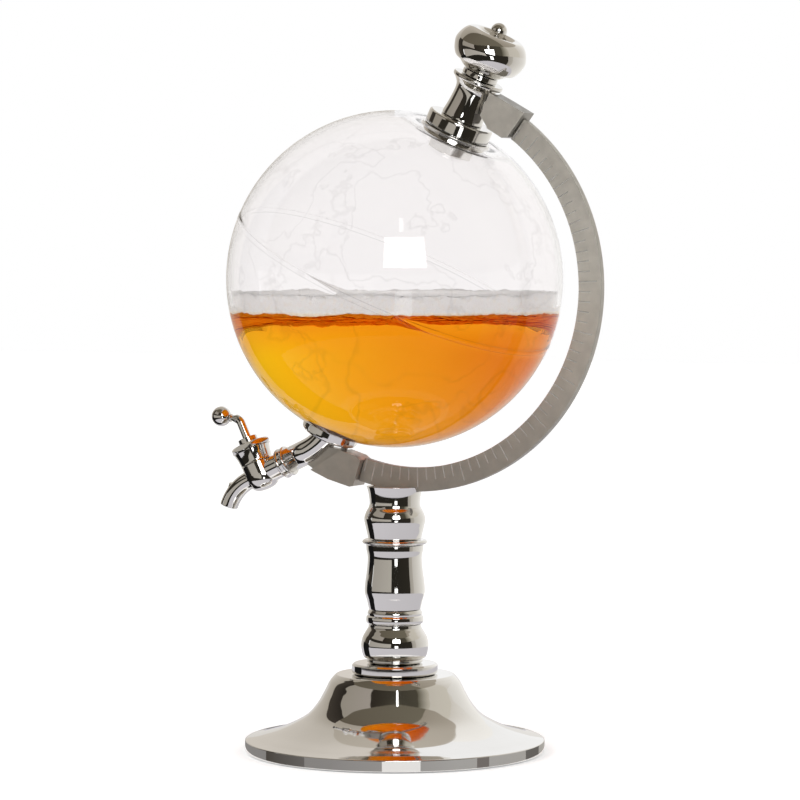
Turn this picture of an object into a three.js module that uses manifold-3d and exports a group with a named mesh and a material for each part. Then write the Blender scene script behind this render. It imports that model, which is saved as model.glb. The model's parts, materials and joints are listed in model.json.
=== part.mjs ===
// Globe draft beer dispenser: a clear sphere hung by its two necks in a graduated meridian arc, on a turned
// column and a weighted bell foot. The globe's axis leans; a stopper closes its top neck and a plug-cock tap
// drains its bottom one. Millimetres, +Z up. The origin is the centre of the foot, on the surface that it
// stands on, the arc lies in the XZ plane, the axis leans towards +X at the top and the tap points towards -X.
import * as THREE from "three";
import { mergeVertices } from "three/addons/utils/BufferGeometryUtils.js";
import Module from "manifold-3d";

const wasm = await Module();
wasm.setup();

const DEGREE = Math.PI / 180;

// Clearances and overruns
const SEAT = 0.3; // between two pieces that rest on each other
const RUNNING = 0.3; // radial clearance of a piece that turns or slides
const OVERRUN = 4; // how far a cutter runs past what it cuts

// Foot
const FOOT_RADIUS = 89.4;
const FOOT_HEIGHT = 46.5;
const FOOT_WALL = 2;
const RIM_HEIGHT = 7.5;
const RIM_LIFT = 0.8; // the rim stays clear of the table, the pad carries the weight
const SHOULDER_RADIUS = 36.5;
const SHOULDER_ROUND = 1.6;
const PAD_RADIUS = 85;
const PAD_THICKNESS = 2.5;
const BALLAST_RADIUS = 62;
const BALLAST_THICKNESS = 9;
const SPACER_RADIUS = 12;

// Tie rod that draws the column onto the foot
const ROD_RADIUS = 4;
const ROD_BITE = 18; // length screwed into the cup
const NUT_RADIUS = 7.5;
const NUT_HEIGHT = 3;
const WASHER_RADIUS = 9;
const WASHER_THICKNESS = 1.2;

// Column, from the foot up: each piece's height and largest radius
const COLLAR = { height: 6.5, radius: 25.6 };
const LOWER_RING = { height: 3, radius: 16.7 };
const BULB = { height: 20.3, radius: 20.1 };
const MID_RING = { height: 8.7, radius: 17.1 };
const VASE = { height: 38.7, radius: 17.9 };
const DISC = { height: 3.3, radius: 19.4 };
const CUP = { height: 31.6, radius: 18.2 };

// Globe
const AXIS_LEAN = 25.2; // degrees
const GLOBE_RADIUS = 100;
const GLOBE_WALL = 2.5;
const LAND_SINK = 7.4; // how far the flat seat round each neck lies in from the sphere
const LAND_RADIUS = 22.6;
const RECESS_RADIUS = 24.4;
const SEAM_BEAD = 0.5;
const SEAM_HEIGHT = 1.1;

// Contents
const BEER_LEVEL = -19.5; // from the globe's centre, along the world's vertical
const FOAM_THICKNESS = 11;

// Neck fittings, along the globe's axis
const GASKET_THICKNESS = 0.8;
const FLANGE_RADIUS = 21.2;
const FLANGE_THICKNESS = 1.4;
const NECK_COLLAR_RADIUS = 19.8;
const NECK_COLLAR_HEIGHT = 8.3;
const SHANK_RADIUS = 10.2;
const FILL_BORE = 8.2;
const NECK_HEIGHT = 25.7;
const NECK_MOUTH_RADIUS = 15.3;
const INNER_NUT_RADIUS = 15;
const INNER_NUT_HEIGHT = 5.7;
const SHANK_TAIL = 1; // thread that shows past an inner nut

// Stopper
const PLUG_RADIUS = 7.8;
const PLUG_LENGTH = 22;
const SKIRT_RADIUS = 10.7;
const SKIRT_HEIGHT = 3;
const SEAL_SECTION = 1.8;
const SEAL_OUTER_RADIUS = 8;
const SEAL_GROOVE_RADIUS = 6.3;
const SEAL_DEPTHS_SHARES = [0.3, 0.68]; // of the plug's length, from its foot
const KNOB_RADIUS = 21.9;
const KNOB_HEIGHT = 24.4;
const FINIAL_RADIUS = 4.8;
const FINIAL_LIFT = 2.2; // the ball's centre over the knob's top
const FINIAL_STUD_RADIUS = 2;
const FINIAL_STUD_LENGTH = 34;

// Meridian arc
const ARC_GAP = 7.3; // how much larger the arc's inner radius is than the globe's
const ARC_WIDTH = 14.3;
const ARC_THICKNESS = 5;
const ARC_CENTRE_OUT = 13.5; // the arc's centre from the globe's axis, on the arc's side
const ARC_CENTRE_UP = 1.7; // and along the axis from the globe's centre
const ARC_SEAT_DEPTH = 2.02; // how deep the arc lies in the cup's slot
const ARC_STEPS = 48;
const TENON_WIDTH = 7.6;
const TENON_LENGTH = 9.5;
const MARK_SPACING = 3; // degrees between two graduations
const MARK_WIDTH = 0.8;
const MARK_DEPTH = 0.45;
const MARK_LENGTH = 7.6;
const LONG_MARK_LENGTH = 11.8;
const LONG_MARK_EVERY = 5; // of how many marks one is long
const LONG_MARK_FIRST = 2; // marks before the first long one

// End blocks
const BLOCK_THICKNESS = 14.6;
const UPPER_BLOCK = { lift: 1.9, reach: 38, height: 21 }; // lift from the neck's collar
const LOWER_BLOCK = { reach: 30.2, height: 21.6 };
const TONGUE_THICKNESS = 6; // the lower block's thinner end, beside the pipe
const BLOCK_EYE_RADIUS = 15; // concave side that clears the filler neck
const BOSS_RADIUS = 4;
const STUD_RADIUS = 2;
const STUD_LENGTH = 10.5;
const SCREW_RADIUS = 1.5;
const SCREW_HEAD_RADIUS = 2.8;
const SCREW_HEAD_HEIGHT = 1.6;
const SADDLE_SCREW_RADIUS = 1.2;
const SADDLE_HEAD_RADIUS = 1.7;
const SADDLE_HEAD_HEIGHT = 2;
const SADDLE_BITE = 7;

// Outlet elbow
const PIPE_RADIUS = 7.6;
const PIPE_BORE = 5.2;
const ELBOW_RADIUS = 38;
const ELBOW_DROP = 3.9; // from the flange to where the pipe's two axes cross
const ELBOW_FLANGE_RADIUS = 17.5;
const ELBOW_FLANGE_HEIGHT = 10.5;
const TAP_DISTANCE = 49; // from that corner to the tap's own axis
const TAP_DROP = 25; // degrees that the tap points below the horizontal

// Tap: f runs out along the pipe, h up along the bonnet, from the crossing of the two axes
const COUPLING_RADIUS = 9.4;
const COUPLING_NEAR = 15.5;
const COUPLING_FAR = 21.5;
const PIPE_END = 16.5;
const BODY_RADIUS = 9.9;
const BODY_BOTTOM = 9.6;
const BODY_TOP = 7.2;
const INLET_RADIUS = 7.4;
const INLET_BORE = 4.2;
const SPOUT_RADIUS = 5.5;
const SPOUT_BORE = 3.9;
const SPOUT_REACH = 29.3;
const SPOUT_DROP = 8.6;
const COCK_TOP_RADIUS = 5.6;
const COCK_BOTTOM_RADIUS = 4.6;
const COCK_DEPTH = 4.8;
const COCK_SHOULDER_HEIGHT = 1.8;
const COCK_PORT = 3.4;
const SPINDLE_RADIUS = 2.9;
const SPINDLE_TOP = 21.9;
const BONNET_TOP = 16.1;
const BONNET_FOOT_RADIUS = 10.2;
const BONNET_TOP_RADIUS = 11.3;
const BONNET_BORE = 6.3;
const THRUST_WASHER = 1;
const CAP_CORNER_RADIUS = 13.6;
const CAP_TOP = 19.9;

// Lever
const HUB_RADIUS = 6;
const HUB_TOP = 23.8;
const LEVER_RADIUS = 2.6;
const LEVER_RISE = 36.3;
const CRANK_ROOT_RADIUS = 2.3;
const CRANK_TIP_RADIUS = 1.5;
const BALL_RADIUS = 6.2;
const BALL_OUT = 10.9;
const BALL_UP = 43.1;
const BALL_COLLAR_RADIUS = 2.5;
const BALL_COLLAR_THICKNESS = 0.9;
const SPIGOT_RADIUS = 1.2;
const SPIGOT_LENGTH = 3.4;

// How finely round things are cut
const FINE = 28;
const MEDIUM = 20;
const COARSE = 14;
const SMALL = 10;
const HEXAGON = 6;

// Solids and how they are cut

function solidOf(geometry) {
  const bare = geometry.clone();
  bare.deleteAttribute("normal");
  bare.deleteAttribute("uv");
  const merged = mergeVertices(bare);
  return new wasm.Manifold(
    new wasm.Mesh({
      numProp: 3,
      vertProperties: merged.attributes.position.array,
      triVerts: new Uint32Array(merged.index.array),
    }),
  );
}

function geometryOf(solid) {
  const mesh = solid.getMesh();
  return new THREE.BufferGeometry()
    .setAttribute("position", new THREE.BufferAttribute(mesh.vertProperties, mesh.numProp))
    .setIndex(new THREE.BufferAttribute(mesh.triVerts, 1));
}

// A solid of revolution round Z. The outline is a list of [radius, height], up the outside and down the inside.
function turned(outline, sides) {
  const points = outline.map(([r, z]) => new THREE.Vector2(r, z));
  if (outline[0][0] > 0) points.push(points[0].clone());
  return solidOf(new THREE.LatheGeometry(points, sides).rotateX(Math.PI / 2));
}

function rod(radius, low, high, sides = COARSE) {
  return turned([[0, low], [radius, low], [radius, high], [0, high]], sides);
}

function ring(outer, inner, low, high, sides = MEDIUM) {
  return turned([[outer, low], [outer, high], [inner, high], [inner, low]], sides);
}

// A hexagon nut with a round bore.
function nut(corner, bore, low, high) {
  return rod(corner, low, high, HEXAGON).subtract(rod(bore, low - OVERRUN, high + OVERRUN, MEDIUM));
}

// A turned piece with a through bore, whose outside is a table of shares of its radius and height.
function turnedPiece(shares, piece, bottom, top, bore, sides = FINE) {
  const outside = shares.map(([r, z]) => [r * piece.radius, bottom + z * (top - bottom)]);
  return turned([...outside, [bore, top], [bore, bottom]], sides);
}

// A flat plate in the XZ plane, centred on Y = 0. The outline is a list of [x, z].
function plate(outline, thickness) {
  const shape = new THREE.Shape(outline.map(([x, z]) => new THREE.Vector2(x, z)));
  const geometry = new THREE.ExtrudeGeometry(shape, { depth: thickness, bevelEnabled: false });
  return solidOf(geometry.translate(0, 0, -thickness / 2).rotateX(Math.PI / 2));
}

// A round bar of constant radius along a curve.
function barAlong(curve, radius, sides, steps) {
  const section = new THREE.Shape().absarc(0, 0, radius, 0, 2 * Math.PI);
  const options = { steps, curveSegments: sides / 2, extrudePath: curve, bevelEnabled: false };
  return solidOf(new THREE.ExtrudeGeometry(section, options));
}

// The rod that runs along +X instead of +Z, from low to high at a given height.
function sideRod(radius, low, high, height, sides = SMALL) {
  return rod(radius, low, high, sides).rotate([0, 90, 0]).translate([0, 0, height]);
}

// The rod that runs along Y through the point (x, z).
function crossRod(radius, low, high, x, z, sides = SMALL) {
  return rod(radius, low, high, sides).rotate([-90, 0, 0]).translate([x, 0, z]);
}

const chrome = { color: 0xc8c4bf, roughness: 0.08, metalness: 1 };
const satin = { color: 0xaca79d, roughness: 0.35, metalness: 1 };
const steel = { color: 0x9a9a9a, roughness: 0.35, metalness: 1 };
const iron = { color: 0x4a4a4c, roughness: 0.8, metalness: 0.6 };
const rubber = { color: 0x2a2a2a, roughness: 0.8, metalness: 0 };
const silicone = { color: 0xe6e4df, roughness: 0.5, metalness: 0 };
const brass = { color: 0xb89a5a, roughness: 0.3, metalness: 1 };
const clear = { color: 0xf3f0f0, roughness: 0.05, metalness: 0, transparent: true, opacity: 0.25 };
const beerLook = { color: 0xec8a12, roughness: 0.05, metalness: 0 };
const foamLook = { color: 0xf6f1e8, roughness: 0.8, metalness: 0 };

function place(group, name, solid, look) {
  const mesh = new THREE.Mesh(geometryOf(solid), new THREE.MeshStandardMaterial(look));
  mesh.name = name;
  group.add(mesh);
}

const dispenser = new THREE.Group();

// The foot: a spun bell with a vertical rim, hollow below, with a cast disc and a full pad in it.

const bellShares = [
  [1, 0], [0.822, 0.051], [0.633, 0.128], [0.444, 0.244], [0.293, 0.372],
  [0.18, 0.551], [0.104, 0.731], [0.047, 0.885], [0, 0.985],
];

function bellOutline(inset, shares) {
  const rim = FOOT_RADIUS - inset;
  const shoulder = SHOULDER_RADIUS - inset;
  const rise = FOOT_HEIGHT - RIM_HEIGHT;
  const flank = shares.map(([out, up]) => [
    shoulder + out * (rim - shoulder),
    RIM_HEIGHT - inset + up * rise,
  ]);
  return [[rim, RIM_LIFT], ...flank, [shoulder - SHOULDER_ROUND, FOOT_HEIGHT - inset]];
}

const rodBore = ROD_RADIUS + RUNNING;
const everyOther = bellShares.filter((share, i) => i % 2 === 0);
const bellInside = bellOutline(FOOT_WALL, everyOther).reverse();
const bell = turned(
  [...bellOutline(0, bellShares), [rodBore, FOOT_HEIGHT], [rodBore, FOOT_HEIGHT - FOOT_WALL], ...bellInside],
  FINE,
);
place(dispenser, "foot_bell", bell, chrome);
place(dispenser, "foot_pad", rod(PAD_RADIUS, 0, PAD_THICKNESS, FINE), rubber);

const ballastFloor = PAD_THICKNESS + SEAT;
const ballastTop = ballastFloor + BALLAST_THICKNESS;
const washerTop = ballastTop - 2 * SEAT - WASHER_THICKNESS;
const washerFloor = washerTop - WASHER_THICKNESS;
const nutTop = washerFloor - SEAT;
const nutFloor = nutTop - NUT_HEIGHT;
const nutPocket = rod(WASHER_RADIUS + RUNNING, ballastFloor - OVERRUN, washerTop + SEAT);
const ballast = ring(BALLAST_RADIUS, rodBore, ballastFloor, ballastTop, MEDIUM).subtract(nutPocket);
place(dispenser, "ballast_disc", ballast, iron);

const spacerFloor = ballastTop + SEAT;
const spacerTop = FOOT_HEIGHT - FOOT_WALL - SEAT;
place(dispenser, "foot_spacer", ring(SPACER_RADIUS, rodBore, spacerFloor, spacerTop, COARSE), steel);

// The column: seven turned pieces threaded on the tie rod, each seated on the one below.

const collarShares = [[0.96, 0], [1, 0.14], [1, 0.8], [0.95, 1]];
const lowerRingShares = [[0.96, 0], [1, 0.3], [1, 0.7], [0.96, 1]];
const bulbShares = [
  [0.91, 0], [0.965, 0.135], [1, 0.385], [0.955, 0.61], [0.86, 0.785], [0.776, 0.91], [0.776, 1],
];
const midRingShares = [[0.94, 0], [1, 0.15], [1, 0.52], [0.95, 0.76], [0.9, 1]];
const vaseShares = [
  [0.86, 0], [0.925, 0.135], [1, 0.265], [0.985, 0.41], [0.93, 0.6], [0.9, 0.8], [0.945, 0.925], [0.95, 1],
];
const discShares = [[0.9, 0], [1, 0.25], [1, 0.75], [0.92, 1]];
const cupShares = [
  [0.87, 0], [0.9, 0.09], [0.956, 0.23], [1, 0.375], [0.945, 0.5], [0.853, 0.63], [0.853, 0.73],
  [0.865, 0.87], [0.9, 1],
];

const columnPieces = [
  ["column_collar", COLLAR, collarShares],
  ["column_lower_ring", LOWER_RING, lowerRingShares],
  ["column_bulb", BULB, bulbShares],
  ["column_ring", MID_RING, midRingShares],
  ["column_vase", VASE, vaseShares],
  ["column_disc", DISC, discShares],
];
let stackHeight = FOOT_HEIGHT;
for (const [name, piece, shares] of columnPieces) {
  const top = stackHeight + piece.height;
  place(dispenser, name, turnedPiece(shares, piece, stackHeight + SEAT, top, rodBore, MEDIUM), chrome);
  stackHeight = top;
}

// The cup on top is slotted for the arc, which stands in it, and the tie rod screws into its foot.

const lean = AXIS_LEAN * DEGREE;
const arcInnerRadius = GLOBE_RADIUS + ARC_GAP;
const arcOuterRadius = arcInnerRadius + ARC_WIDTH;
const arcMiddleRadius = arcInnerRadius + ARC_WIDTH / 2;
const cupFloor = stackHeight + SEAT;
const cupTop = stackHeight + CUP.height;
const arcUnderside = cupTop - ARC_SEAT_DEPTH;
const arcCentreAcross = ARC_CENTRE_OUT * Math.cos(lean) + ARC_CENTRE_UP * Math.sin(lean);
const arcCentreBelow = ARC_CENTRE_OUT * Math.sin(lean) - ARC_CENTRE_UP * Math.cos(lean);
const arcRiseAt = (radius) => Math.sqrt(radius ** 2 - arcCentreAcross ** 2);
const arcCentre = { x: arcCentreAcross, z: arcUnderside + arcRiseAt(arcOuterRadius) };
const arcTopside = arcCentre.z - arcRiseAt(arcInnerRadius);
const globeCentreHeight = arcCentre.z + arcCentreBelow;

const rodTop = cupFloor + ROD_BITE;
const saddleScrewFoot = arcUnderside - SADDLE_BITE;
const slotHalf = ARC_THICKNESS / 2 + SEAT;
const slot = crossRod(arcOuterRadius + SEAT, -slotHalf, slotHalf, arcCentre.x, arcCentre.z, 4 * MEDIUM);
const cupBlank = cupShares.map(([r, z]) => [r * CUP.radius, cupFloor + z * (cupTop - cupFloor)]);
const cup = turned([[0, cupFloor], ...cupBlank, [0, cupTop]], MEDIUM)
  .subtract(rod(rodBore, cupFloor - OVERRUN, rodTop + SEAT))
  .subtract(rod(SADDLE_SCREW_RADIUS + RUNNING, saddleScrewFoot - SEAT, cupTop + OVERRUN, SMALL))
  .subtract(slot);
place(dispenser, "column_cup", cup, chrome);

place(dispenser, "tie_rod", rod(ROD_RADIUS, nutFloor, rodTop, COARSE), steel);
place(dispenser, "tie_rod_nut", nut(NUT_RADIUS, rodBore, nutFloor, nutTop), steel);
place(dispenser, "tie_rod_washer", ring(WASHER_RADIUS, rodBore, washerFloor, washerTop, COARSE), steel);

// The screw that holds the arc down in the cup goes in from the arc's inner edge.

const saddleHeadTop = arcTopside - SEAT;
const saddleHeadFloor = saddleHeadTop - SADDLE_HEAD_HEIGHT;
const saddleScrew = rod(SADDLE_HEAD_RADIUS, saddleHeadFloor, saddleHeadTop, SMALL).add(
  rod(SADDLE_SCREW_RADIUS, saddleScrewFoot, saddleHeadFloor + SADDLE_HEAD_HEIGHT / 2, SMALL),
);
place(dispenser, "saddle_screw", saddleScrew, steel);

// Everything below hangs on the globe's leaning axis: local Z is that axis, local X is the arc's side.

const globeAxis = new THREE.Group();
globeAxis.position.set(0, 0, globeCentreHeight);
globeAxis.rotation.set(0, lean, 0);
dispenser.add(globeAxis);

// The globe: two moulded halves bonded at a beaded seam, each with a sunk flat seat round its neck hole.

const SPHERE_STEPS = 7;
const landLevel = GLOBE_RADIUS - LAND_SINK;
const fillHole = SHANK_RADIUS + RUNNING;
const drainHole = PIPE_RADIUS + RUNNING;

function globeFlank(inset) {
  const radius = GLOBE_RADIUS - inset;
  const last = Math.acos(RECESS_RADIUS / radius);
  const flank = [];
  for (let i = 0; i <= SPHERE_STEPS; i++) {
    const angle = (last * i) / SPHERE_STEPS;
    flank.push([radius * Math.cos(angle), radius * Math.sin(angle)]);
  }
  return [...flank, [LAND_RADIUS, landLevel - inset]];
}

function globeHalf(hole) {
  const outside = globeFlank(0);
  outside[0] = [GLOBE_RADIUS, SEAM_HEIGHT];
  const inside = globeFlank(GLOBE_WALL).reverse();
  inside[inside.length - 1][1] = SEAT / 2;
  const bead = GLOBE_RADIUS + SEAM_BEAD;
  return turned(
    [
      [bead, SEAT / 2], [bead, SEAM_HEIGHT], ...outside,
      [hole, landLevel], [hole, landLevel - GLOBE_WALL], ...inside,
    ],
    FINE,
  );
}

place(globeAxis, "globe_upper_half", globeHalf(fillHole), clear);
place(globeAxis, "globe_lower_half", globeHalf(drainHole).mirror([0, 0, 1]), clear);

// The contents fill the inside up to a level that is level in the world, so their tops lean against the axis.

const landInside = landLevel - GLOBE_WALL;
const nutAreaTop = landInside - 3 * SEAT - GASKET_THICKNESS;
const nutAreaFloor = nutAreaTop - INNER_NUT_HEIGHT;
const filling = globeFlank(GLOBE_WALL + SEAT);
const sphereInside = turned(
  [
    [0, -filling[SPHERE_STEPS + 1][1]],
    ...filling.map(([r, z]) => [r, -z]).reverse(),
    ...filling.slice(1),
    [0, filling[SPHERE_STEPS + 1][1]],
  ],
  FINE,
);
const nutRoom = rod(INNER_NUT_RADIUS + 2 * SEAT, -landLevel, SHANK_TAIL + SEAT - nutAreaFloor, MEDIUM);

// A slab of world space between two heights above the globe's centre, in the globe's own frame.
function worldSlab(low, high) {
  const width = 2 * GLOBE_RADIUS + OVERRUN;
  const box = new THREE.BoxGeometry(width, width, high - low).translate(0, 0, (low + high) / 2);
  return solidOf(box.rotateY(-lean));
}

const contents = sphereInside.subtract(nutRoom.translate([0, 0, -SEAT]));
place(globeAxis, "beer", contents.intersect(worldSlab(-GLOBE_RADIUS, BEER_LEVEL)), beerLook);
const foamFloor = BEER_LEVEL + SEAT;
place(globeAxis, "beer_foam", contents.intersect(worldSlab(foamFloor, foamFloor + FOAM_THICKNESS)), foamLook);

// The upper neck: a threaded shank through the globe, clamped by a nut inside and a flange and collar outside.

const gasketFloor = landLevel + SEAT;
const gasketTop = gasketFloor + GASKET_THICKNESS;
const flangeFloor = gasketTop + SEAT;
const flangeTop = flangeFloor + FLANGE_THICKNESS;
const neckCollarFloor = flangeTop + SEAT;
const neckCollarTop = neckCollarFloor + NECK_COLLAR_HEIGHT;
const neckFloor = neckCollarTop + SEAT;
const neckTop = neckFloor + NECK_HEIGHT;
const fitBore = SHANK_RADIUS + SEAT;

place(globeAxis, "upper_gasket", ring(NECK_COLLAR_RADIUS, fillHole, gasketFloor, gasketTop), rubber);
place(globeAxis, "upper_flange", ring(FLANGE_RADIUS, fitBore, flangeFloor, flangeTop), chrome);

const neckCollarShares = [[1, 0], [1, 0.78], [0.975, 0.93], [0.92, 1]];
const neckCollarSize = { radius: NECK_COLLAR_RADIUS };
place(
  globeAxis,
  "upper_collar",
  turnedPiece(neckCollarShares, neckCollarSize, neckCollarFloor, neckCollarTop, fitBore, MEDIUM),
  chrome,
);

const innerGasketTop = landInside - SEAT;
const innerGasketFloor = innerGasketTop - GASKET_THICKNESS;
const innerNutTop = innerGasketFloor - SEAT;
const innerNutFloor = innerNutTop - INNER_NUT_HEIGHT;
place(
  globeAxis,
  "upper_inner_gasket",
  ring(INNER_NUT_RADIUS, fillHole, innerGasketFloor, innerGasketTop, COARSE),
  silicone,
);
place(globeAxis, "upper_inner_nut", nut(INNER_NUT_RADIUS, fitBore, innerNutFloor, innerNutTop), chrome);

const neckShares = [
  [0.82, 0], [0.81, 0.09], [0.735, 0.39], [0.712, 0.62], [0.8, 0.8], [0.98, 0.895], [1, 0.93], [1, 0.98],
  [0.97, 1],
];
const neckWaistUpShare = 0.52;
const neckWaistOutShare = 0.72;
const shankFoot = innerNutFloor - SHANK_TAIL;
const neckOutside = neckShares.map(([r, z]) => [r * NECK_MOUTH_RADIUS, neckFloor + z * NECK_HEIGHT]);
const studLevel = neckFloor + neckWaistUpShare * NECK_HEIGHT;
const neckStudFoot = FILL_BORE + 2 * SEAT;
const neck = turned(
  [
    [SHANK_RADIUS, shankFoot], [SHANK_RADIUS, neckFloor], ...neckOutside,
    [FILL_BORE, neckTop], [FILL_BORE, shankFoot],
  ],
  MEDIUM,
).subtract(sideRod(STUD_RADIUS + SEAT, neckStudFoot - SEAT, NECK_MOUTH_RADIUS, studLevel));
place(globeAxis, "filler_neck", neck, chrome);

// The stopper lifts out of the neck as one: plug and skirt, two seal rings, an apple-shaped knob and its finial.

const plugFloor = neckTop - PLUG_LENGTH;
const skirtFloor = neckTop + SEAT;
const skirtTop = skirtFloor + SKIRT_HEIGHT;
const sealLevels = SEAL_DEPTHS_SHARES.map((share) => plugFloor + share * PLUG_LENGTH);
const finialCentre = skirtTop + SEAT + KNOB_HEIGHT + FINIAL_LIFT;
const studFoot = finialCentre - FINIAL_STUD_LENGTH;
let plug = turned(
  [
    [0, plugFloor], [PLUG_RADIUS - SEAL_SECTION / 2, plugFloor], [PLUG_RADIUS, plugFloor + SEAL_SECTION],
    [PLUG_RADIUS, skirtFloor], [SKIRT_RADIUS, skirtFloor], [SKIRT_RADIUS, skirtTop], [0, skirtTop],
  ],
  COARSE,
).subtract(rod(FINIAL_STUD_RADIUS + SEAT, studFoot - SEAT, skirtTop + OVERRUN, SMALL));
const sealHalf = SEAL_SECTION / 2;
sealLevels.forEach((level, i) => {
  const groove = sealHalf + SEAT;
  plug = plug.subtract(ring(PLUG_RADIUS + OVERRUN, SEAL_GROOVE_RADIUS, level - groove, level + groove, COARSE));
  const inner = SEAL_GROOVE_RADIUS + SEAT;
  const seal = turned(
    [
      [SEAL_OUTER_RADIUS - sealHalf / 2, level - sealHalf], [SEAL_OUTER_RADIUS, level - sealHalf / 2],
      [SEAL_OUTER_RADIUS, level + sealHalf / 2], [SEAL_OUTER_RADIUS - sealHalf / 2, level + sealHalf],
      [inner, level + sealHalf], [inner, level - sealHalf],
    ],
    COARSE,
  );
  place(globeAxis, "stopper_seal_" + (i + 1), seal, silicone);
});
place(globeAxis, "stopper_plug", plug, chrome);

const knobShares = [
  [0.47, 0], [0.7, 0.155], [0.835, 0.2], [0.94, 0.345], [1, 0.55], [0.96, 0.71], [0.86, 0.87], [0.73, 0.975],
  [0.6, 1], [0.47, 0.955], [0.36, 0.86],
];
const dimpleShare = 0.8;
const knobFloor = skirtTop + SEAT;
const knobOutside = knobShares.map(([r, z]) => [r * KNOB_RADIUS, knobFloor + z * KNOB_HEIGHT]);
const knob = turned(
  [
    ...knobOutside, [FINIAL_STUD_RADIUS + SEAT, knobFloor + dimpleShare * KNOB_HEIGHT],
    [FINIAL_STUD_RADIUS + SEAT, knobFloor],
  ],
  MEDIUM,
);
place(globeAxis, "stopper_knob", knob, chrome);
const finial = solidOf(new THREE.SphereGeometry(FINIAL_RADIUS, COARSE, SMALL).translate(0, 0, finialCentre)).add(
  rod(FINIAL_STUD_RADIUS, studFoot, finialCentre, SMALL),
);
place(globeAxis, "stopper_finial", finial, chrome);

// The meridian arc: a flat bar bent to a circle, with a tenon at each end and graduations on its front face.

function arcPoint(radius, degrees) {
  const angle = degrees * DEGREE;
  return [ARC_CENTRE_OUT + radius * Math.sin(angle), ARC_CENTRE_UP + radius * Math.cos(angle)];
}

function arcSector(inner, outer, from, to, steps) {
  const outline = [];
  for (let i = 0; i <= steps; i++) outline.push(arcPoint(outer, from + ((to - from) * i) / steps));
  for (let i = steps; i >= 0; i--) outline.push(arcPoint(inner, from + ((to - from) * i) / steps));
  return outline.reverse();
}

// The arc's shoulders stand where the end blocks reach to, in degrees from the axis.
const upperShoulderShare = 0.95;
const lowerShoulderShare = 0.975;
const turnAt = (out) => Math.asin((out - ARC_CENTRE_OUT) / arcMiddleRadius) / DEGREE;
const arcStart = turnAt(upperShoulderShare * UPPER_BLOCK.reach);
const arcEnd = 180 - turnAt(lowerShoulderShare * LOWER_BLOCK.reach);

const tenonTurn = TENON_LENGTH / arcMiddleRadius / DEGREE;
const seatTurn = SEAT / arcMiddleRadius / DEGREE;
const tenonInner = arcMiddleRadius - TENON_WIDTH / 2;
const tenonOuter = arcMiddleRadius + TENON_WIDTH / 2;
const tenonOverlap = tenonTurn / 2;
const TENON_STEPS = 4;

const arcBar = plate(arcSector(arcInnerRadius, arcOuterRadius, arcStart, arcEnd, ARC_STEPS), ARC_THICKNESS);
const upperTenon = plate(
  arcSector(tenonInner, tenonOuter, arcStart - tenonTurn, arcStart + tenonOverlap, TENON_STEPS),
  ARC_THICKNESS,
);
const lowerTenon = plate(
  arcSector(tenonInner, tenonOuter, arcEnd - tenonOverlap, arcEnd + tenonTurn, TENON_STEPS),
  ARC_THICKNESS,
);

// A graduation is a vee groove, open at the arc's inner edge.
const grooveSection = new THREE.Shape([
  new THREE.Vector2(0, MARK_DEPTH),
  new THREE.Vector2(-MARK_WIDTH, -MARK_DEPTH),
  new THREE.Vector2(MARK_WIDTH, -MARK_DEPTH),
]);
const marks = [];
const firstMark = Math.ceil(arcStart / MARK_SPACING) * MARK_SPACING;
const markCount = Math.floor((arcEnd - MARK_SPACING / 2 - firstMark) / MARK_SPACING) + 1;
for (let i = 0; i < markCount; i++) {
  const degrees = firstMark + i * MARK_SPACING;
  const length = i % LONG_MARK_EVERY === LONG_MARK_FIRST ? LONG_MARK_LENGTH : MARK_LENGTH;
  const groove = new THREE.ExtrudeGeometry(grooveSection, { depth: length + OVERRUN, bevelEnabled: false });
  groove.translate(0, -ARC_THICKNESS / 2, arcInnerRadius - OVERRUN).rotateY(degrees * DEGREE);
  marks.push(solidOf(groove.translate(ARC_CENTRE_OUT, 0, ARC_CENTRE_UP)));
}

// The saddle screw's hole and pocket are upright in the world, so they are cut in the arc's own frame.
const saddleHole = rod(SADDLE_SCREW_RADIUS + RUNNING, arcUnderside - OVERRUN, arcTopside + OVERRUN, SMALL).add(
  rod(SADDLE_HEAD_RADIUS + RUNNING, saddleHeadFloor - SEAT, arcTopside + OVERRUN, SMALL),
);
const toGlobeAxis = (solid) => solid.translate([0, 0, -globeCentreHeight]).rotate([0, -AXIS_LEAN, 0]);

const upperScrewAt = arcPoint(arcMiddleRadius, arcStart - tenonTurn / 2);
const lowerScrewAt = arcPoint(arcMiddleRadius, arcEnd + tenonTurn / 2);
const screwHole = ([x, z]) => crossRod(SCREW_RADIUS + RUNNING, -BLOCK_THICKNESS, BLOCK_THICKNESS, x, z);
const arc = arcBar
  .add(upperTenon)
  .add(lowerTenon)
  .subtract(wasm.Manifold.union(marks))
  .subtract(toGlobeAxis(saddleHole))
  .subtract(screwHole(upperScrewAt))
  .subtract(screwHole(lowerScrewAt));
place(globeAxis, "meridian_arc", arc, satin);

// The end blocks: each takes a tenon of the arc in a mortise, with a cross screw from the back.

const mortiseHalf = TENON_WIDTH / 2 + SEAT;
function mortise(from, to) {
  const outline = arcSector(arcMiddleRadius - mortiseHalf, arcMiddleRadius + mortiseHalf, from, to, TENON_STEPS);
  return plate(outline, ARC_THICKNESS + 2 * SEAT);
}
const upperMortise = mortise(arcStart - tenonTurn - seatTurn, arcStart + tenonTurn);
const lowerMortise = mortise(arcEnd - tenonTurn, arcEnd + tenonTurn + seatTurn);

const halfBlock = BLOCK_THICKNESS / 2;
const blockScrewFoot = -halfBlock + 2 * SCREW_RADIUS;
const headFloor = halfBlock - SCREW_HEAD_HEIGHT - SEAT;

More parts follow.
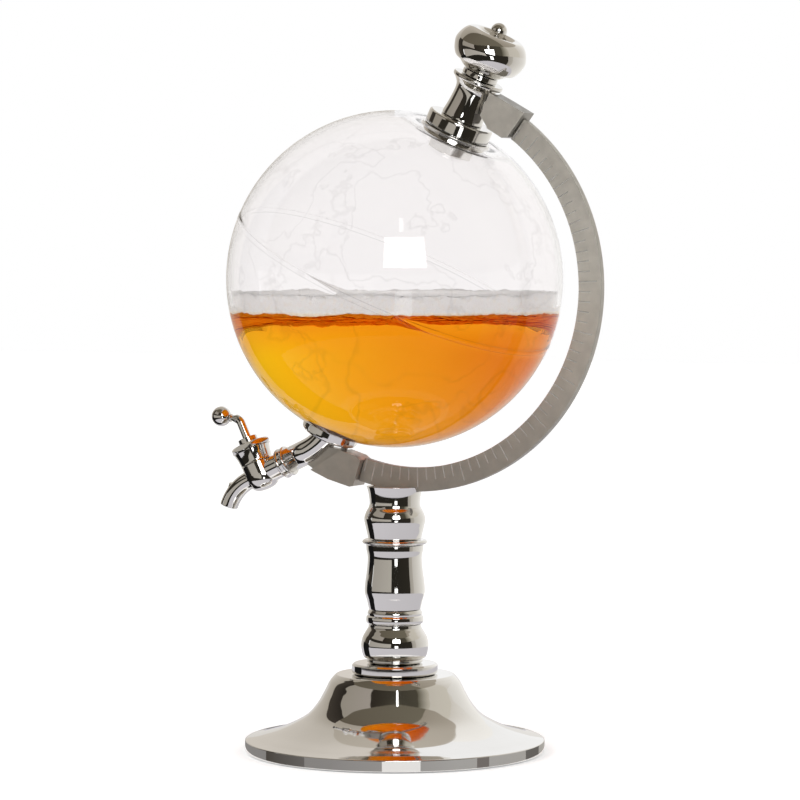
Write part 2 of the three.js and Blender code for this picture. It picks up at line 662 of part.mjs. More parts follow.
function blockScrewRoom([x, z]) {
  return crossRod(SCREW_RADIUS + SEAT, blockScrewFoot - SEAT, halfBlock + OVERRUN, x, z).add(
    crossRod(SCREW_HEAD_RADIUS + SEAT, headFloor - SEAT, halfBlock + OVERRUN, x, z),
  );
}

function blockScrew([x, z]) {
  return crossRod(SCREW_RADIUS, blockScrewFoot, headFloor + SCREW_HEAD_HEIGHT / 2, x, z).add(
    crossRod(SCREW_HEAD_RADIUS, headFloor, headFloor + SCREW_HEAD_HEIGHT, x, z),
  );
}

// The block ends one seat short of the arc's shoulder.
function beyondShoulder(degrees, turn) {
  return plate(
    arcSector(arcInnerRadius / 2, arcOuterRadius + arcInnerRadius / 2, degrees, degrees + turn, TENON_STEPS),
    2 * BLOCK_THICKNESS,
  );
}

const upperBlockShares = [
  [0.21, 0.99], [0.6, 0.955], [1.01, 0.9], [0.9, 0.09], [0.82, 0], [0.54, 0.05], [0.21, 0.08],
];
const upperBlockFloor = neckCollarTop + UPPER_BLOCK.lift;
const upperOutline = upperBlockShares
  .map(([out, up]) => [out * UPPER_BLOCK.reach, upperBlockFloor + up * UPPER_BLOCK.height])
  .reverse();
const eyeTop = neckTop + OVERRUN;
const eyeFoot = neckCollarTop - OVERRUN;
const upperEye = turned(
  [
    [0, eyeFoot], [FLANGE_RADIUS, eyeFoot], [FLANGE_RADIUS, neckCollarTop + BOSS_RADIUS - SEAT],
    [BLOCK_EYE_RADIUS, neckCollarTop + 2 * BOSS_RADIUS], [BLOCK_EYE_RADIUS, eyeTop], [0, eyeTop],
  ],
  MEDIUM,
);
const neckWaistRadius = neckWaistOutShare * NECK_MOUTH_RADIUS;
const bossFoot = neckWaistRadius + SEAT;
const bossSeat = turned(
  [[0, neckFloor], ...neckOutside.map(([r, z]) => [r + SEAT, z]), [0, neckTop]],
  MEDIUM,
);
const studEnd = neckStudFoot + STUD_LENGTH;
const upperBlock = plate(upperOutline, BLOCK_THICKNESS)
  .subtract(upperEye)
  .add(sideRod(BOSS_RADIUS, bossFoot / 2, BLOCK_EYE_RADIUS + BOSS_RADIUS, studLevel, COARSE).subtract(bossSeat))
  .subtract(sideRod(STUD_RADIUS + SEAT, 0, studEnd + SEAT, studLevel))
  .subtract(beyondShoulder(arcStart - seatTurn, tenonTurn))
  .subtract(upperMortise)
  .subtract(blockScrewRoom(upperScrewAt));
place(globeAxis, "upper_block", upperBlock, satin);
place(globeAxis, "upper_block_screw", blockScrew(upperScrewAt), steel);
place(globeAxis, "neck_stud", sideRod(STUD_RADIUS, neckStudFoot, studEnd, studLevel), steel);

// The outlet elbow: a flange under the globe and a bent pipe, cast as one, with a threaded tail into the globe.

const elbowFlangeFloor = landLevel + GASKET_THICKNESS + 2 * SEAT;
const elbowFlangeEnd = elbowFlangeFloor + ELBOW_FLANGE_HEIGHT;
const elbowCorner = elbowFlangeEnd + ELBOW_DROP;
const bend = (90 - TAP_DROP - AXIS_LEAN) * DEGREE;
const bendTangent = ELBOW_RADIUS * Math.tan(bend / 2);
const corner = new THREE.Vector3(0, 0, -elbowCorner);
const outward = new THREE.Vector3(-Math.sin(bend), 0, -Math.cos(bend));
const innerAxisPoint = (distance) => new THREE.Vector3(0, 0, distance - elbowCorner);
const tapAxisPoint = (distance) => corner.clone().addScaledVector(outward, distance);
const BEND_PULL_SHARE = 0.552; // a cubic's handles for a round bend, as a share of its tangents

function pipeRoute(inner, outer) {
  const route = new THREE.CurvePath();
  const bendStart = innerAxisPoint(bendTangent);
  const bendEnd = tapAxisPoint(bendTangent);
  route.add(new THREE.LineCurve3(innerAxisPoint(elbowCorner - inner), bendStart));
  route.add(
    new THREE.CubicBezierCurve3(
      bendStart,
      innerAxisPoint(bendTangent * (1 - BEND_PULL_SHARE)),
      tapAxisPoint(bendTangent * (1 - BEND_PULL_SHARE)),
      bendEnd,
    ),
  );
  route.add(new THREE.LineCurve3(bendEnd, tapAxisPoint(outer)));
  return route;
}

const PIPE_STEPS = 10;
const pipeTail = innerNutFloor - SHANK_TAIL;
const pipeReach = TAP_DISTANCE - PIPE_END;
const elbowFlangeShares = [[0.97, 0], [1, 0.08], [1, 0.75], [0.93, 1]];
const lowerStudOut = (PIPE_RADIUS + ELBOW_FLANGE_RADIUS) / 2;
const lowerStudTop = elbowFlangeEnd - ELBOW_FLANGE_HEIGHT / 2;
const elbowFlange = turned(
  [
    [0, elbowFlangeFloor],
    ...elbowFlangeShares.map(([r, z]) => [
      r * ELBOW_FLANGE_RADIUS,
      elbowFlangeFloor + z * ELBOW_FLANGE_HEIGHT,
    ]),
    [0, elbowFlangeEnd],
  ],
  MEDIUM,
).mirror([0, 0, 1]);
const studRoom = rod(STUD_RADIUS + SEAT, -2 * elbowFlangeEnd, -lowerStudTop + SEAT, SMALL).translate([
  lowerStudOut, 0, 0,
]);
const elbow = barAlong(pipeRoute(pipeTail, pipeReach), PIPE_RADIUS, COARSE, PIPE_STEPS)
  .add(elbowFlange)
  .subtract(barAlong(pipeRoute(pipeTail - OVERRUN, pipeReach + OVERRUN), PIPE_BORE, SMALL, PIPE_STEPS))
  .subtract(studRoom);
place(globeAxis, "outlet_elbow", elbow, chrome);

function drainRing(name, outer, bore, near, far, sides, look) {
  place(globeAxis, name, ring(outer, bore, -far, -near, sides), look);
}
drainRing("lower_gasket", ELBOW_FLANGE_RADIUS, drainHole, gasketFloor, gasketTop, MEDIUM, rubber);
drainRing("lower_inner_gasket", INNER_NUT_RADIUS, drainHole, innerGasketFloor, innerGasketTop, COARSE, silicone);
place(globeAxis, "lower_inner_nut", nut(INNER_NUT_RADIUS, drainHole, -innerNutTop, -innerNutFloor), chrome);

// The lower block hugs the elbow and hangs from its flange by a bolt, with its head sunk in the underside.

const lowerBlockShares = [
  [0.46, 0.084], [0.81, 0.014], [0.953, 0.06], [1.03, 0.78], [0.94, 0.87], [0.45, 0.985], [0.02, 1],
];
const tongueShares = [[0.6, 0.2], [0.45, 0.9], [-0.02, 0.985], [-0.3, 0.93], [-0.12, 0.33], [0.43, 0.1]];
const lowerBlockTop = elbowFlangeEnd + SEAT;
function lowerPlate(shares, thickness) {
  const outline = shares.map(([out, down]) => [
    out * LOWER_BLOCK.reach,
    -lowerBlockTop - down * LOWER_BLOCK.height,
  ]);
  return plate(outline, thickness);
}
const lowerBlockFoot = lowerBlockTop + LOWER_BLOCK.height;
const capHeadTop = lowerBlockFoot - 2 * SCREW_HEAD_HEIGHT;
const capHeadEnd = capHeadTop + SCREW_HEAD_HEIGHT;
const elbowRoom = barAlong(pipeRoute(pipeTail, pipeReach + OVERRUN), PIPE_RADIUS + SEAT, MEDIUM, 2 * PIPE_STEPS);
const capHeadRoom = rod(SCREW_HEAD_RADIUS + SEAT, -2 * lowerBlockFoot, -capHeadTop + SEAT, SMALL);
const lowerBlock = lowerPlate(lowerBlockShares, BLOCK_THICKNESS)
  .add(lowerPlate(tongueShares, TONGUE_THICKNESS))
  .subtract(elbowRoom)
  .subtract(beyondShoulder(arcEnd + seatTurn, -tenonTurn))
  .subtract(lowerMortise)
  .subtract(studRoom)
  .subtract(capHeadRoom.translate([lowerStudOut, 0, 0]))
  .subtract(blockScrewRoom(lowerScrewAt));
place(globeAxis, "lower_block", lowerBlock, satin);
place(globeAxis, "lower_block_screw", blockScrew(lowerScrewAt), steel);
const lowerStud = rod(STUD_RADIUS, -capHeadTop - SCREW_HEAD_HEIGHT / 2, -lowerStudTop, SMALL).add(
  rod(SCREW_HEAD_RADIUS, -capHeadEnd, -capHeadTop, SMALL),
);
place(globeAxis, "flange_bolt", lowerStud.translate([lowerStudOut, 0, 0]), steel);

// The tap, in its own frame: X runs out along the pipe's axis, Z up along the bonnet.

const tap = new THREE.Group();
const tapCentre = tapAxisPoint(TAP_DISTANCE);
tap.position.copy(tapCentre);
tap.rotation.set(0, -(AXIS_LEAN + TAP_DROP) * DEGREE, Math.PI);
globeAxis.add(tap);

const coupling = ring(COUPLING_RADIUS, PIPE_RADIUS + SEAT, -COUPLING_FAR, -COUPLING_NEAR);
place(tap, "coupling_nut", coupling.rotate([0, 90, 0]), chrome);

// The body is one casting: a round barrel, an inlet stub and a drooping spout, with a tapered seat for the cock.

const spoutShares = [[0.1, 0], [0.32, 0.03], [0.48, 0], [0.68, -0.25], [0.85, -0.6], [1, -1]];
const spoutPoints = spoutShares.map(
  ([out, up]) => new THREE.Vector3(out * SPOUT_REACH, 0, up * SPOUT_DROP),
);
const spoutEnd = spoutPoints[spoutPoints.length - 1];
const spoutLast = spoutPoints[spoutPoints.length - 2];
const pastSpout = spoutEnd.clone().add(spoutEnd.clone().sub(spoutLast));
const SPOUT_STEPS = 7;
const bodyShares = [[0.49, 0.05], [0.78, 0.25], [0.955, 0.6], [1, 1]];
const bodyOutside = bodyShares.map(([r, z]) => [r * BODY_RADIUS, (z - 1) * BODY_BOTTOM]);
const seatFloor = -COCK_DEPTH - SEAT;
const cockSeat = turned(
  [
    [0, seatFloor], [COCK_BOTTOM_RADIUS + RUNNING, seatFloor], [COCK_TOP_RADIUS + RUNNING, BODY_TOP],
    [COCK_TOP_RADIUS + RUNNING, BODY_TOP + OVERRUN], [0, BODY_TOP + OVERRUN],
  ],
  COARSE,
);
const stubEnd = COUPLING_NEAR - SEAT;
const spoutPath = new THREE.CatmullRomCurve3(spoutPoints);
const spoutBorePath = new THREE.CatmullRomCurve3([...spoutPoints, pastSpout]);
const tapBody = turned([[0, -BODY_BOTTOM], ...bodyOutside, [BODY_RADIUS, BODY_TOP], [0, BODY_TOP]], COARSE)
  .add(sideRod(INLET_RADIUS, -stubEnd, 0, 0, COARSE))
  .add(barAlong(spoutPath, SPOUT_RADIUS, COARSE, SPOUT_STEPS))
  .subtract(cockSeat)
  .subtract(sideRod(INLET_BORE, -stubEnd - OVERRUN, 0, 0))
  .subtract(barAlong(spoutBorePath, SPOUT_BORE, SMALL, SPOUT_STEPS));
place(tap, "tap_body", tapBody, chrome);

const bonnetFloor = BODY_TOP + SEAT;
const bonnet = turned(
  [
    [BONNET_FOOT_RADIUS, bonnetFloor], [BONNET_TOP_RADIUS, BONNET_TOP], [BONNET_BORE, BONNET_TOP],
    [BONNET_BORE, bonnetFloor],
  ],
  COARSE,
);
place(tap, "tap_bonnet", bonnet, chrome);

const capFloor = BONNET_TOP + SEAT;
const capMiddle = (capFloor + CAP_TOP) / 2;
const capFlareShare = 0.84;
const capBlank = nut(CAP_CORNER_RADIUS, SPINDLE_RADIUS + RUNNING, capFloor, CAP_TOP);
const capFlare = turned(
  [
    [0, capFloor], [capFlareShare * CAP_CORNER_RADIUS, capFloor], [CAP_CORNER_RADIUS, capMiddle],
    [capFlareShare * CAP_CORNER_RADIUS, CAP_TOP], [0, CAP_TOP],
  ],
  COARSE,
);
place(tap, "bonnet_cap", capBlank.intersect(capFlare), chrome);

const shoulderTop = bonnetFloor + COCK_SHOULDER_HEIGHT;
const packingBore = SPINDLE_RADIUS + RUNNING;
const packingOuter = BONNET_BORE - SEAT;
const washerFoot = shoulderTop + SEAT;
const packingFoot = washerFoot + THRUST_WASHER + SEAT;
const thrustWasher = ring(packingOuter, packingBore, washerFoot, washerFoot + THRUST_WASHER, COARSE);
place(tap, "thrust_washer", thrustWasher, brass);
place(tap, "gland_packing", ring(packingOuter, packingBore, packingFoot, BONNET_TOP, COARSE), rubber);

// The cock turns in the body with the lever. Its port lies across the flow here, so the tap is shut.

const cock = turned(
  [
    [0, -COCK_DEPTH], [COCK_BOTTOM_RADIUS, -COCK_DEPTH], [COCK_TOP_RADIUS, BODY_TOP],
    [COCK_TOP_RADIUS, shoulderTop], [SPINDLE_RADIUS, shoulderTop], [SPINDLE_RADIUS, SPINDLE_TOP],
    [0, SPINDLE_TOP],
  ],
  COARSE,
).subtract(crossRod(COCK_PORT, -BODY_RADIUS, BODY_RADIUS, 0, 0));
place(tap, "cock_plug", cock, brass);

const crank = new THREE.Vector3(BALL_OUT, 0, BALL_UP - LEVER_RISE);
const crankLength = crank.length();
const crankTurn = Math.atan2(crank.x, crank.z) / DEGREE;
const collarStart = crankLength - BALL_RADIUS - SEAT - BALL_COLLAR_THICKNESS;
const collarEnd = collarStart + BALL_COLLAR_THICKNESS;
const crankArm = turned(
  [
    [0, 0], [CRANK_ROOT_RADIUS, 0], [CRANK_TIP_RADIUS, collarStart], [BALL_COLLAR_RADIUS, collarStart],
    [BALL_COLLAR_RADIUS, collarEnd], [SPIGOT_RADIUS, collarEnd],
    [SPIGOT_RADIUS, collarEnd + SPIGOT_LENGTH], [0, collarEnd + SPIGOT_LENGTH],
  ],
  SMALL,
)
  .rotate([0, crankTurn, 0])
  .translate([0, 0, LEVER_RISE]);
const hubFloor = CAP_TOP + SEAT;
const lever = rod(HUB_RADIUS, hubFloor, HUB_TOP)
  .add(rod(LEVER_RADIUS, (hubFloor + HUB_TOP) / 2, LEVER_RISE, SMALL))
  .add(solidOf(new THREE.SphereGeometry(LEVER_RADIUS, SMALL, SMALL / 2).translate(0, 0, LEVER_RISE)))
  .add(crankArm)
  .subtract(rod(SPINDLE_RADIUS + SEAT, hubFloor - OVERRUN, SPINDLE_TOP + SEAT));
place(tap, "tap_lever", lever, chrome);

const ballRoom = rod(SPIGOT_RADIUS + SEAT, 0, collarEnd + SPIGOT_LENGTH + SEAT, SMALL)
  .rotate([0, crankTurn, 0])
  .translate([0, 0, LEVER_RISE]);
const ball = solidOf(new THREE.SphereGeometry(BALL_RADIUS, COARSE, SMALL).translate(BALL_OUT, 0, BALL_UP));
place(tap, "lever_ball", ball.subtract(ballRoom), chrome);

export default dispenser;
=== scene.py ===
"""A globe draft beer dispenser, dressed for a studio photograph. Metres, +Z up."""
import json
import math

import bmesh
import bpy
from mathutils import Matrix, Vector, noise
from mathutils.geometry import interpolate_bezier, intersect_line_line


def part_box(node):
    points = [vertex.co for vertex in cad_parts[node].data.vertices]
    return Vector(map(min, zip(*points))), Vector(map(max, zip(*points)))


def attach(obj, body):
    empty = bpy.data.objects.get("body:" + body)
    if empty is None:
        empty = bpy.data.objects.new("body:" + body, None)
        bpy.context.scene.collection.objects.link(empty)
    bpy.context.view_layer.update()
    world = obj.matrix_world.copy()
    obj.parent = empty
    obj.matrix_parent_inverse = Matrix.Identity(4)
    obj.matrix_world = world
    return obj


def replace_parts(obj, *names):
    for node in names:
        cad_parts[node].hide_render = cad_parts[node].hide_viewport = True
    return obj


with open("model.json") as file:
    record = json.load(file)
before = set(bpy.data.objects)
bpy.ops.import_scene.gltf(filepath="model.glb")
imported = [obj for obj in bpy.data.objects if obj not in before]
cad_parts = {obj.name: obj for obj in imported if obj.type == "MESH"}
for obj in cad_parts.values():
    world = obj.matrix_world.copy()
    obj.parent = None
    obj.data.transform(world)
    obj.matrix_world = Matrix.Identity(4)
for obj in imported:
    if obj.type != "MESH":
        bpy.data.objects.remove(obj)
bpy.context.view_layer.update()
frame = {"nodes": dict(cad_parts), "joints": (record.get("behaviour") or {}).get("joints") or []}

# Foot pad: one full disc of black rubber under the foot, which carries the whole weight and keeps the plated
# rim off the table. It is moulded with soft edges.
MM = 0.001
FULL_TURN = 2 * math.pi
ROUND_STEPS = 96  # facets round a large turned piece
SHARP_ANGLE = math.radians(26)
MERGE_DISTANCE = 1e-6
UPRIGHT = Matrix.Identity(4)


def measured(node, place=UPRIGHT):
    """Lowest and highest corner of a CAD node in a frame of its own."""
    to_local = place.inverted()
    points = [to_local @ vertex.co for vertex in frame["nodes"][node].data.vertices]
    low = Vector([min(p[i] for p in points) for i in range(3)])
    high = Vector([max(p[i] for p in points) for i in range(3)])
    return low, high


def turned_size(node, place=UPRIGHT):
    """Bottom, top and largest radius of a CAD node that is round about its frame's Z."""
    low, high = measured(node, place)
    return low.z, high.z, max(high.x - low.x, high.y - low.y) / 2


def smooth_through(points, steps=6):
    """A smooth curve through the points of one stretch of an outline, with no corner in it."""
    knots = [Vector((r, z)) for r, z in points]
    if len(knots) < 3:
        return knots
    pulls = [knots[1] - knots[0]]
    pulls += [(after - before) / 2 for before, after in zip(knots, knots[2:])]
    pulls += [knots[-1] - knots[-2]]
    curve = [knots[0]]
    for i in range(len(knots) - 1):
        handles = knots[i] + pulls[i] / 3, knots[i + 1] - pulls[i + 1] / 3
        curve += interpolate_bezier(knots[i], *handles, knots[i + 1], steps + 1)[1:]
    return curve


def outline(*stretches):
    """Joins smooth stretches into one outline, with a corner where two of them meet."""
    joined = []
    for stretch in stretches:
        curve = smooth_through(stretch)
        if joined and (joined[-1] - curve[0]).length < MERGE_DISTANCE / 10:
            curve = curve[1:]
        joined += curve
    return joined


def angular(*points):
    """An outline with a corner at every point."""
    return outline(*zip(points, points[1:]))


def made_object(bm, name):
    """An object from a mesh in the making, linked to the scene."""
    mesh = bpy.data.meshes.new(name)
    bm.to_mesh(mesh)
    bm.free()
    made = bpy.data.objects.new(name, mesh)
    bpy.context.scene.collection.objects.link(made)
    return made


def finished(bm, name, body, material, edge=0.0, place=UPRIGHT):
    """Rounds the sharp edges, moves the mesh to its place and makes the piece."""
    bmesh.ops.remove_doubles(bm, verts=bm.verts, dist=MERGE_DISTANCE)
    bmesh.ops.recalc_face_normals(bm, faces=bm.faces)
    if edge:
        sharp = [e for e in bm.edges if e.is_manifold and e.calc_face_angle(0) > SHARP_ANGLE]
        bmesh.ops.bevel(
            bm, geom=sharp, offset=edge, offset_type="OFFSET", affect="EDGES", segments=3, profile=0.5,
            material=-1, clamp_overlap=True,
        )
    bmesh.ops.transform(bm, matrix=place, verts=bm.verts)
    for face in bm.faces:
        face.smooth = True
    piece = made_object(bm, name)
    piece.data.materials.append(material)
    even = piece.modifiers.new("even_shading", "WEIGHTED_NORMAL")
    even.mode = "FACE_AREA"
    even.keep_sharp = True
    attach(piece, body)
    return piece


def spun(points, steps=ROUND_STEPS):
    """A bmesh turned from an outline of radius and height."""
    bm = bmesh.new()
    verts = [bm.verts.new((p[0], 0, p[1])) for p in points]
    edges = [bm.edges.new(pair) for pair in zip(verts, verts[1:])]
    bmesh.ops.spin(
        bm, geom=verts + edges, cent=(0, 0, 0), axis=(0, 0, 1), angle=FULL_TURN, steps=steps, use_merge=True
    )
    bmesh.ops.remove_doubles(bm, verts=bm.verts, dist=MERGE_DISTANCE)
    return bm


def surface(name, colour, roughness, metallic=0.0):
    """A new material, its node tree and its shader."""
    material = bpy.data.materials.new(name)
    material.use_nodes = True
    tree = material.node_tree
    shader = tree.nodes["Principled BSDF"]
    shader.inputs["Base Color"].default_value = (*colour, 1)
    shader.inputs["Roughness"].default_value = roughness
    shader.inputs["Metallic"].default_value = metallic
    return material, tree, shader


def ramp(tree, value, low, high, first=0.0, last=1.0, smooth=False):
    """Goes from a first number to a last while a value goes from low to high, and stays there."""
    spread = tree.nodes.new("ShaderNodeMapRange")
    if smooth:
        spread.interpolation_type = "SMOOTHSTEP"
    for name, number in (("From Min", low), ("From Max", high), ("To Min", first), ("To Max", last)):
        spread.inputs[name].default_value = number
    tree.links.new(value, spread.inputs["Value"])
    return spread.outputs["Result"]


def mottle(tree, scale, low, high, detail=4.0):
    """A soft noise on the object's own coordinates, spread between two values."""
    place = tree.nodes.new("ShaderNodeTexCoord")
    cloud = tree.nodes.new("ShaderNodeTexNoise")
    cloud.inputs["Scale"].default_value = scale
    cloud.inputs["Detail"].default_value = detail
    tree.links.new(place.outputs["Object"], cloud.inputs["Vector"])
    return ramp(tree, cloud.outputs["Fac"], 0.3, 0.7, low, high)


def tint(tree, factor, dark, light, blend="MIX"):
    """A colour between two others, by a factor. Each of the three is fixed or comes from a node."""
    mix = tree.nodes.new("ShaderNodeMix")
    mix.data_type = "RGBA"
    mix.blend_type = blend
    for place, given in ((0, factor), (6, dark), (7, light)):
        if isinstance(given, bpy.types.NodeSocket):
            tree.links.new(given, mix.inputs[place])
        else:
            mix.inputs[place].default_value = (*given, 1) if place else given
    return mix.outputs[2]


def clouded(tree, shader, scale, dark, light):
    """Colours the surface in soft patches of a darker and a lighter tone."""
    tree.links.new(tint(tree, mottle(tree, scale, 0, 1), dark, light), shader.inputs["Base Color"])


def bumped(tree, shader, height, depth):
    """Raises the surface by a height between 0 and 1 times a depth in metres."""
    bump = tree.nodes.new("ShaderNodeBump")
    bump.inputs["Strength"].default_value = 1
    bump.inputs["Distance"].default_value = depth
    tree.links.new(height, bump.inputs["Height"])
    tree.links.new(bump.outputs["Normal"], shader.inputs["Normal"])


def finish(name, colour, roughness, patches, relief, metallic=0.0, varied=()):
    """A material in soft patches of two tones, with a fine relief and, where it is varied, an uneven roughness."""
    material, tree, shader = surface(name, colour, roughness, metallic)
    if varied:
        tree.links.new(mottle(tree, *varied), shader.inputs["Roughness"])
    clouded(tree, shader, *patches)
    scale, depth, *detail = relief
    bumped(tree, shader, mottle(tree, scale, 0, 1, *detail), depth)
    return material


rubber = finish("black_rubber", (0.02, 0.02, 0.02), 0.7, (60, (0.015, 0.015, 0.016), (0.035, 0.034, 0.033)),
                relief=(900, 0.05 * MM))
pad_low, pad_high, pad_radius = turned_size("foot_pad")
pad_points = angular((0, pad_low), (pad_radius, pad_low), (pad_radius, pad_high), (0, pad_high))
pad = finished(spun(pad_points), "pad_disc", "stand", rubber, edge=0.6 * MM)
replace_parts(pad, "foot_pad")

# Foot bell: spun from sheet over a former, with a plain vertical rim, a long hollow flank and a rounded shoulder,
# then polished and chrome plated. A cast disc inside gives it its weight, and a spacer holds the disc down.
RIM_HEIGHT = 7.5 * MM
SHOULDER_RADIUS = 36.5 * MM
SHOULDER_ROUND = 1.5 * MM
BELL_WALL = 2 * MM
BELL_STEPS = 160
ROD_BORE = 4.3 * MM
FLANK_SHARES = [
    (1, 0), (0.91, 0.022), (0.822, 0.051), (0.633, 0.128), (0.444, 0.244), (0.293, 0.372), (0.18, 0.551),
    (0.104, 0.731), (0.047, 0.885), (0, 0.965),
]


def plated(bm, name, node, body="stand", edge=0.25 * MM, place=UPRIGHT):
    """A chrome-plated piece, which takes a CAD node's place."""
    piece = finished(bm, name, body, chrome, edge=edge, place=place)
    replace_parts(piece, node)
    return piece


def dress(node, material):
    """Gives a CAD node that keeps its own shape its finish."""
    slots = frame["nodes"][node].data.materials
    slots.clear()
    slots.append(material)


def bell_side(inset):
    """One side of the bell's wall, from its rim's foot up to its flat top."""
    rim = bell_radius - inset
    shoulder = SHOULDER_RADIUS - inset
    flank = [
        (shoulder + out * (rim - shoulder), RIM_HEIGHT - inset + up * (bell_high - RIM_HEIGHT))
        for out, up in FLANK_SHARES
    ]
    top = bell_high - inset
    return [[(rim, bell_low), flank[0]], flank, [flank[-1], (shoulder - SHOULDER_ROUND, top)],
            [(shoulder - SHOULDER_ROUND, top), (ROD_BORE, top)]]


chrome = finish("plated_chrome", (0.8, 0.79, 0.77), 0.06, (12, (0.76, 0.75, 0.725), (0.84, 0.83, 0.815)),
                relief=(90, 0.004 * MM, 2), metallic=1, varied=(35, 0.025, 0.075))
bell_low, bell_high, bell_radius = turned_size("foot_bell")
outside = outline(*bell_side(0))
inside = outline(*bell_side(BELL_WALL))
plated(spun(outside + inside[::-1] + outside[:1], steps=BELL_STEPS), "spun_bell", "foot_bell", edge=0.5 * MM)
dress("ballast_disc", finish(
    "cast_iron", (0.12, 0.12, 0.125), 0.75, (80, (0.08, 0.075, 0.07), (0.17, 0.17, 0.175)),
    relief=(500, 0.25 * MM), metallic=0.6,
))
steel = finish("turned_steel", (0.55, 0.55, 0.56), 0.3, (50, (0.48, 0.475, 0.46), (0.62, 0.62, 0.62)),
               relief=(1500, 0.01 * MM), metallic=1, varied=(200, 0.22, 0.42))
for node in ("foot_spacer", "tie_rod", "tie_rod_nut", "tie_rod_washer"):
    dress(node, steel)

# Column: seven pieces turned from brass bar, polished, plated and threaded on one tie rod. Each has its own beads and
# coves, and a fine shadow line shows where one seats on the next.
DRUM = [[(0.96, 0), (1, 0.14)], [(1, 0.14), (1, 0.82)], [(1, 0.82), (0.95, 1)]]
COLUMN_SHARES = {
    "column_collar": DRUM,
    "column_lower_ring": [[(0.95, 0), (0.99, 0.2), (1, 0.5), (0.99, 0.8), (0.95, 1)]],
    "column_bulb": [
        [(0.91, 0), (0.965, 0.135), (1, 0.385), (0.955, 0.61), (0.86, 0.785), (0.79, 0.9), (0.776, 1)],
    ],
    "column_ring": [
        [(0.93, 0), (0.985, 0.1), (1, 0.3), (0.99, 0.5)], [(0.99, 0.5), (0.94, 0.6)],
        [(0.94, 0.6), (0.95, 0.78), (0.9, 1)],
    ],
    "column_vase": [
        [(0.86, 0), (0.925, 0.135), (1, 0.265), (0.985, 0.41), (0.93, 0.6), (0.9, 0.8), (0.945, 0.925)],
        [(0.945, 0.925), (0.955, 1)],
    ],
    "column_disc": [[(0.9, 0), (0.97, 0.18), (1, 0.5), (0.97, 0.82), (0.92, 1)]],
}


def at_size(shares, radius, low, high):
    """Stretches of an outline, from shares of a radius and of the way from a low level to a high one."""
    return [[(r * radius, low + z * (high - low)) for r, z in stretch] for stretch in shares]


def turned_piece(node, name, shares, body="stand", place=UPRIGHT, bore=ROD_BORE, edge=0.25 * MM):
    """A plated piece turned from shares of its node's radius and height, with a bore right through."""
    low, high, radius = turned_size(node, place)
    stretches = at_size(shares, radius, low, high)
    first, last = stretches[0][0], stretches[-1][-1]
    points = outline([(bore, low), first], *stretches, [last, (bore, high)], [(bore, high), (bore, low)])
    return plated(spun(points), name, node, body, edge, place)


for node, shares in COLUMN_SHARES.items():
    turned_piece(node, node.replace("column", "turned"), shares)

# Column cup: the top piece of the column, turned and plated like the rest, with a rounded bead, a cove over it and a
# flared rim. It is slotted across for the arc, which a cap screw holds down in it.
ARC_CENTRE_OUT = 13.5 * MM  # from the globe's axis, on the arc's side
ARC_CENTRE_UP = 1.7 * MM  # along that axis, from the globe's centre
ARC_INNER_RADIUS = 107.3 * MM
ARC_OUTER_RADIUS = 121.6 * MM
SEAT = 0.3 * MM
SLOT_SIDES = 240
CUP_SHARES = [
    [(0.87, 0), (0.9, 0.09), (0.956, 0.23), (1, 0.375), (0.945, 0.5), (0.85, 0.6)],
    [(0.85, 0.6), (0.825, 0.67), (0.835, 0.77), (0.865, 0.88), (0.92, 1)],
]

globe_low, globe_high = (Vector(map(pick, *corners)) for pick, corners in zip(
    (min, max), zip(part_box("globe_upper_half"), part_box("globe_lower_half"))))
globe_centre = (globe_low + globe_high) / 2
joints = {joint["name"]: joint for joint in frame["joints"]}
globe_axis = Vector(joints["stopper_lift"]["axis"]).normalized()
lean = math.atan2(globe_axis.x, globe_axis.z)
NECK = Matrix.Translation(globe_centre) @ Matrix.Rotation(lean, 4, "Y")
arc_centre = Vector((ARC_CENTRE_OUT, 0, ARC_CENTRE_UP))
arc_low, arc_high = measured("meridian_arc", NECK)
arc_thickness = arc_high.y - arc_low.y


def cut_away(piece, cutter, operation="DIFFERENCE"):
    """Cuts the cutter's shape out of a piece, or all but that, and throws the cutter away."""
    cut = piece.modifiers.new("cut", "BOOLEAN")
    cut.operation = operation
    cut.solver = "EXACT"
    cut.object = cutter
    cut.material_mode = "TRANSFER" if cutter.data.materials else "INDEX"
    piece.modifiers.move(len(piece.modifiers) - 1, 0)
    bpy.context.view_layer.update()
    whole = piece.evaluated_get(bpy.context.evaluated_depsgraph_get())
    mesh = bpy.data.meshes.new_from_object(whole)
    piece.modifiers.remove(cut)
    piece.data = mesh
    bpy.data.objects.remove(cutter)


cup = turned_piece("column_cup", "slotted_cup", CUP_SHARES)
slot = bmesh.new()
quarter_turn = Matrix.Rotation(math.pi / 2, 4, "X")
bmesh.ops.create_cone(
    slot, cap_ends=True, segments=SLOT_SIDES, radius1=ARC_OUTER_RADIUS + SEAT, radius2=ARC_OUTER_RADIUS + SEAT,
    depth=arc_thickness + 2 * SEAT, matrix=NECK @ Matrix.Translation(arc_centre) @ quarter_turn,
)
cut_away(cup, made_object(slot, "slot_cutter"))

# Meridian arc: flat nickel-plated bar bent to part of a circle, with a satin finish. Graduations are cut into its
# front face every three degrees, and every fifth one is long.
ARC_START = 11.4  # degrees from the globe's axis to the shoulder at the upper block
ARC_END = 172
ARC_STEPS = 160
MARK_SPACING = 3
MARK_LENGTH = 7.6 * MM
LONG_MARK_LENGTH = 11.8 * MM
LONG_MARK_EVERY = 5
LONG_MARK_FIRST = 2
MARK_DEPTH = 0.45 * MM
MARK_HALF_WIDTH = 0.45 * MM
MARK_OVERRUN = 1 * MM  # past the arc's inner edge
PRISM_SPREAD = 1.5  # of the groove's cutter, for the width that it leaves
SIDE_FACING = 0.3


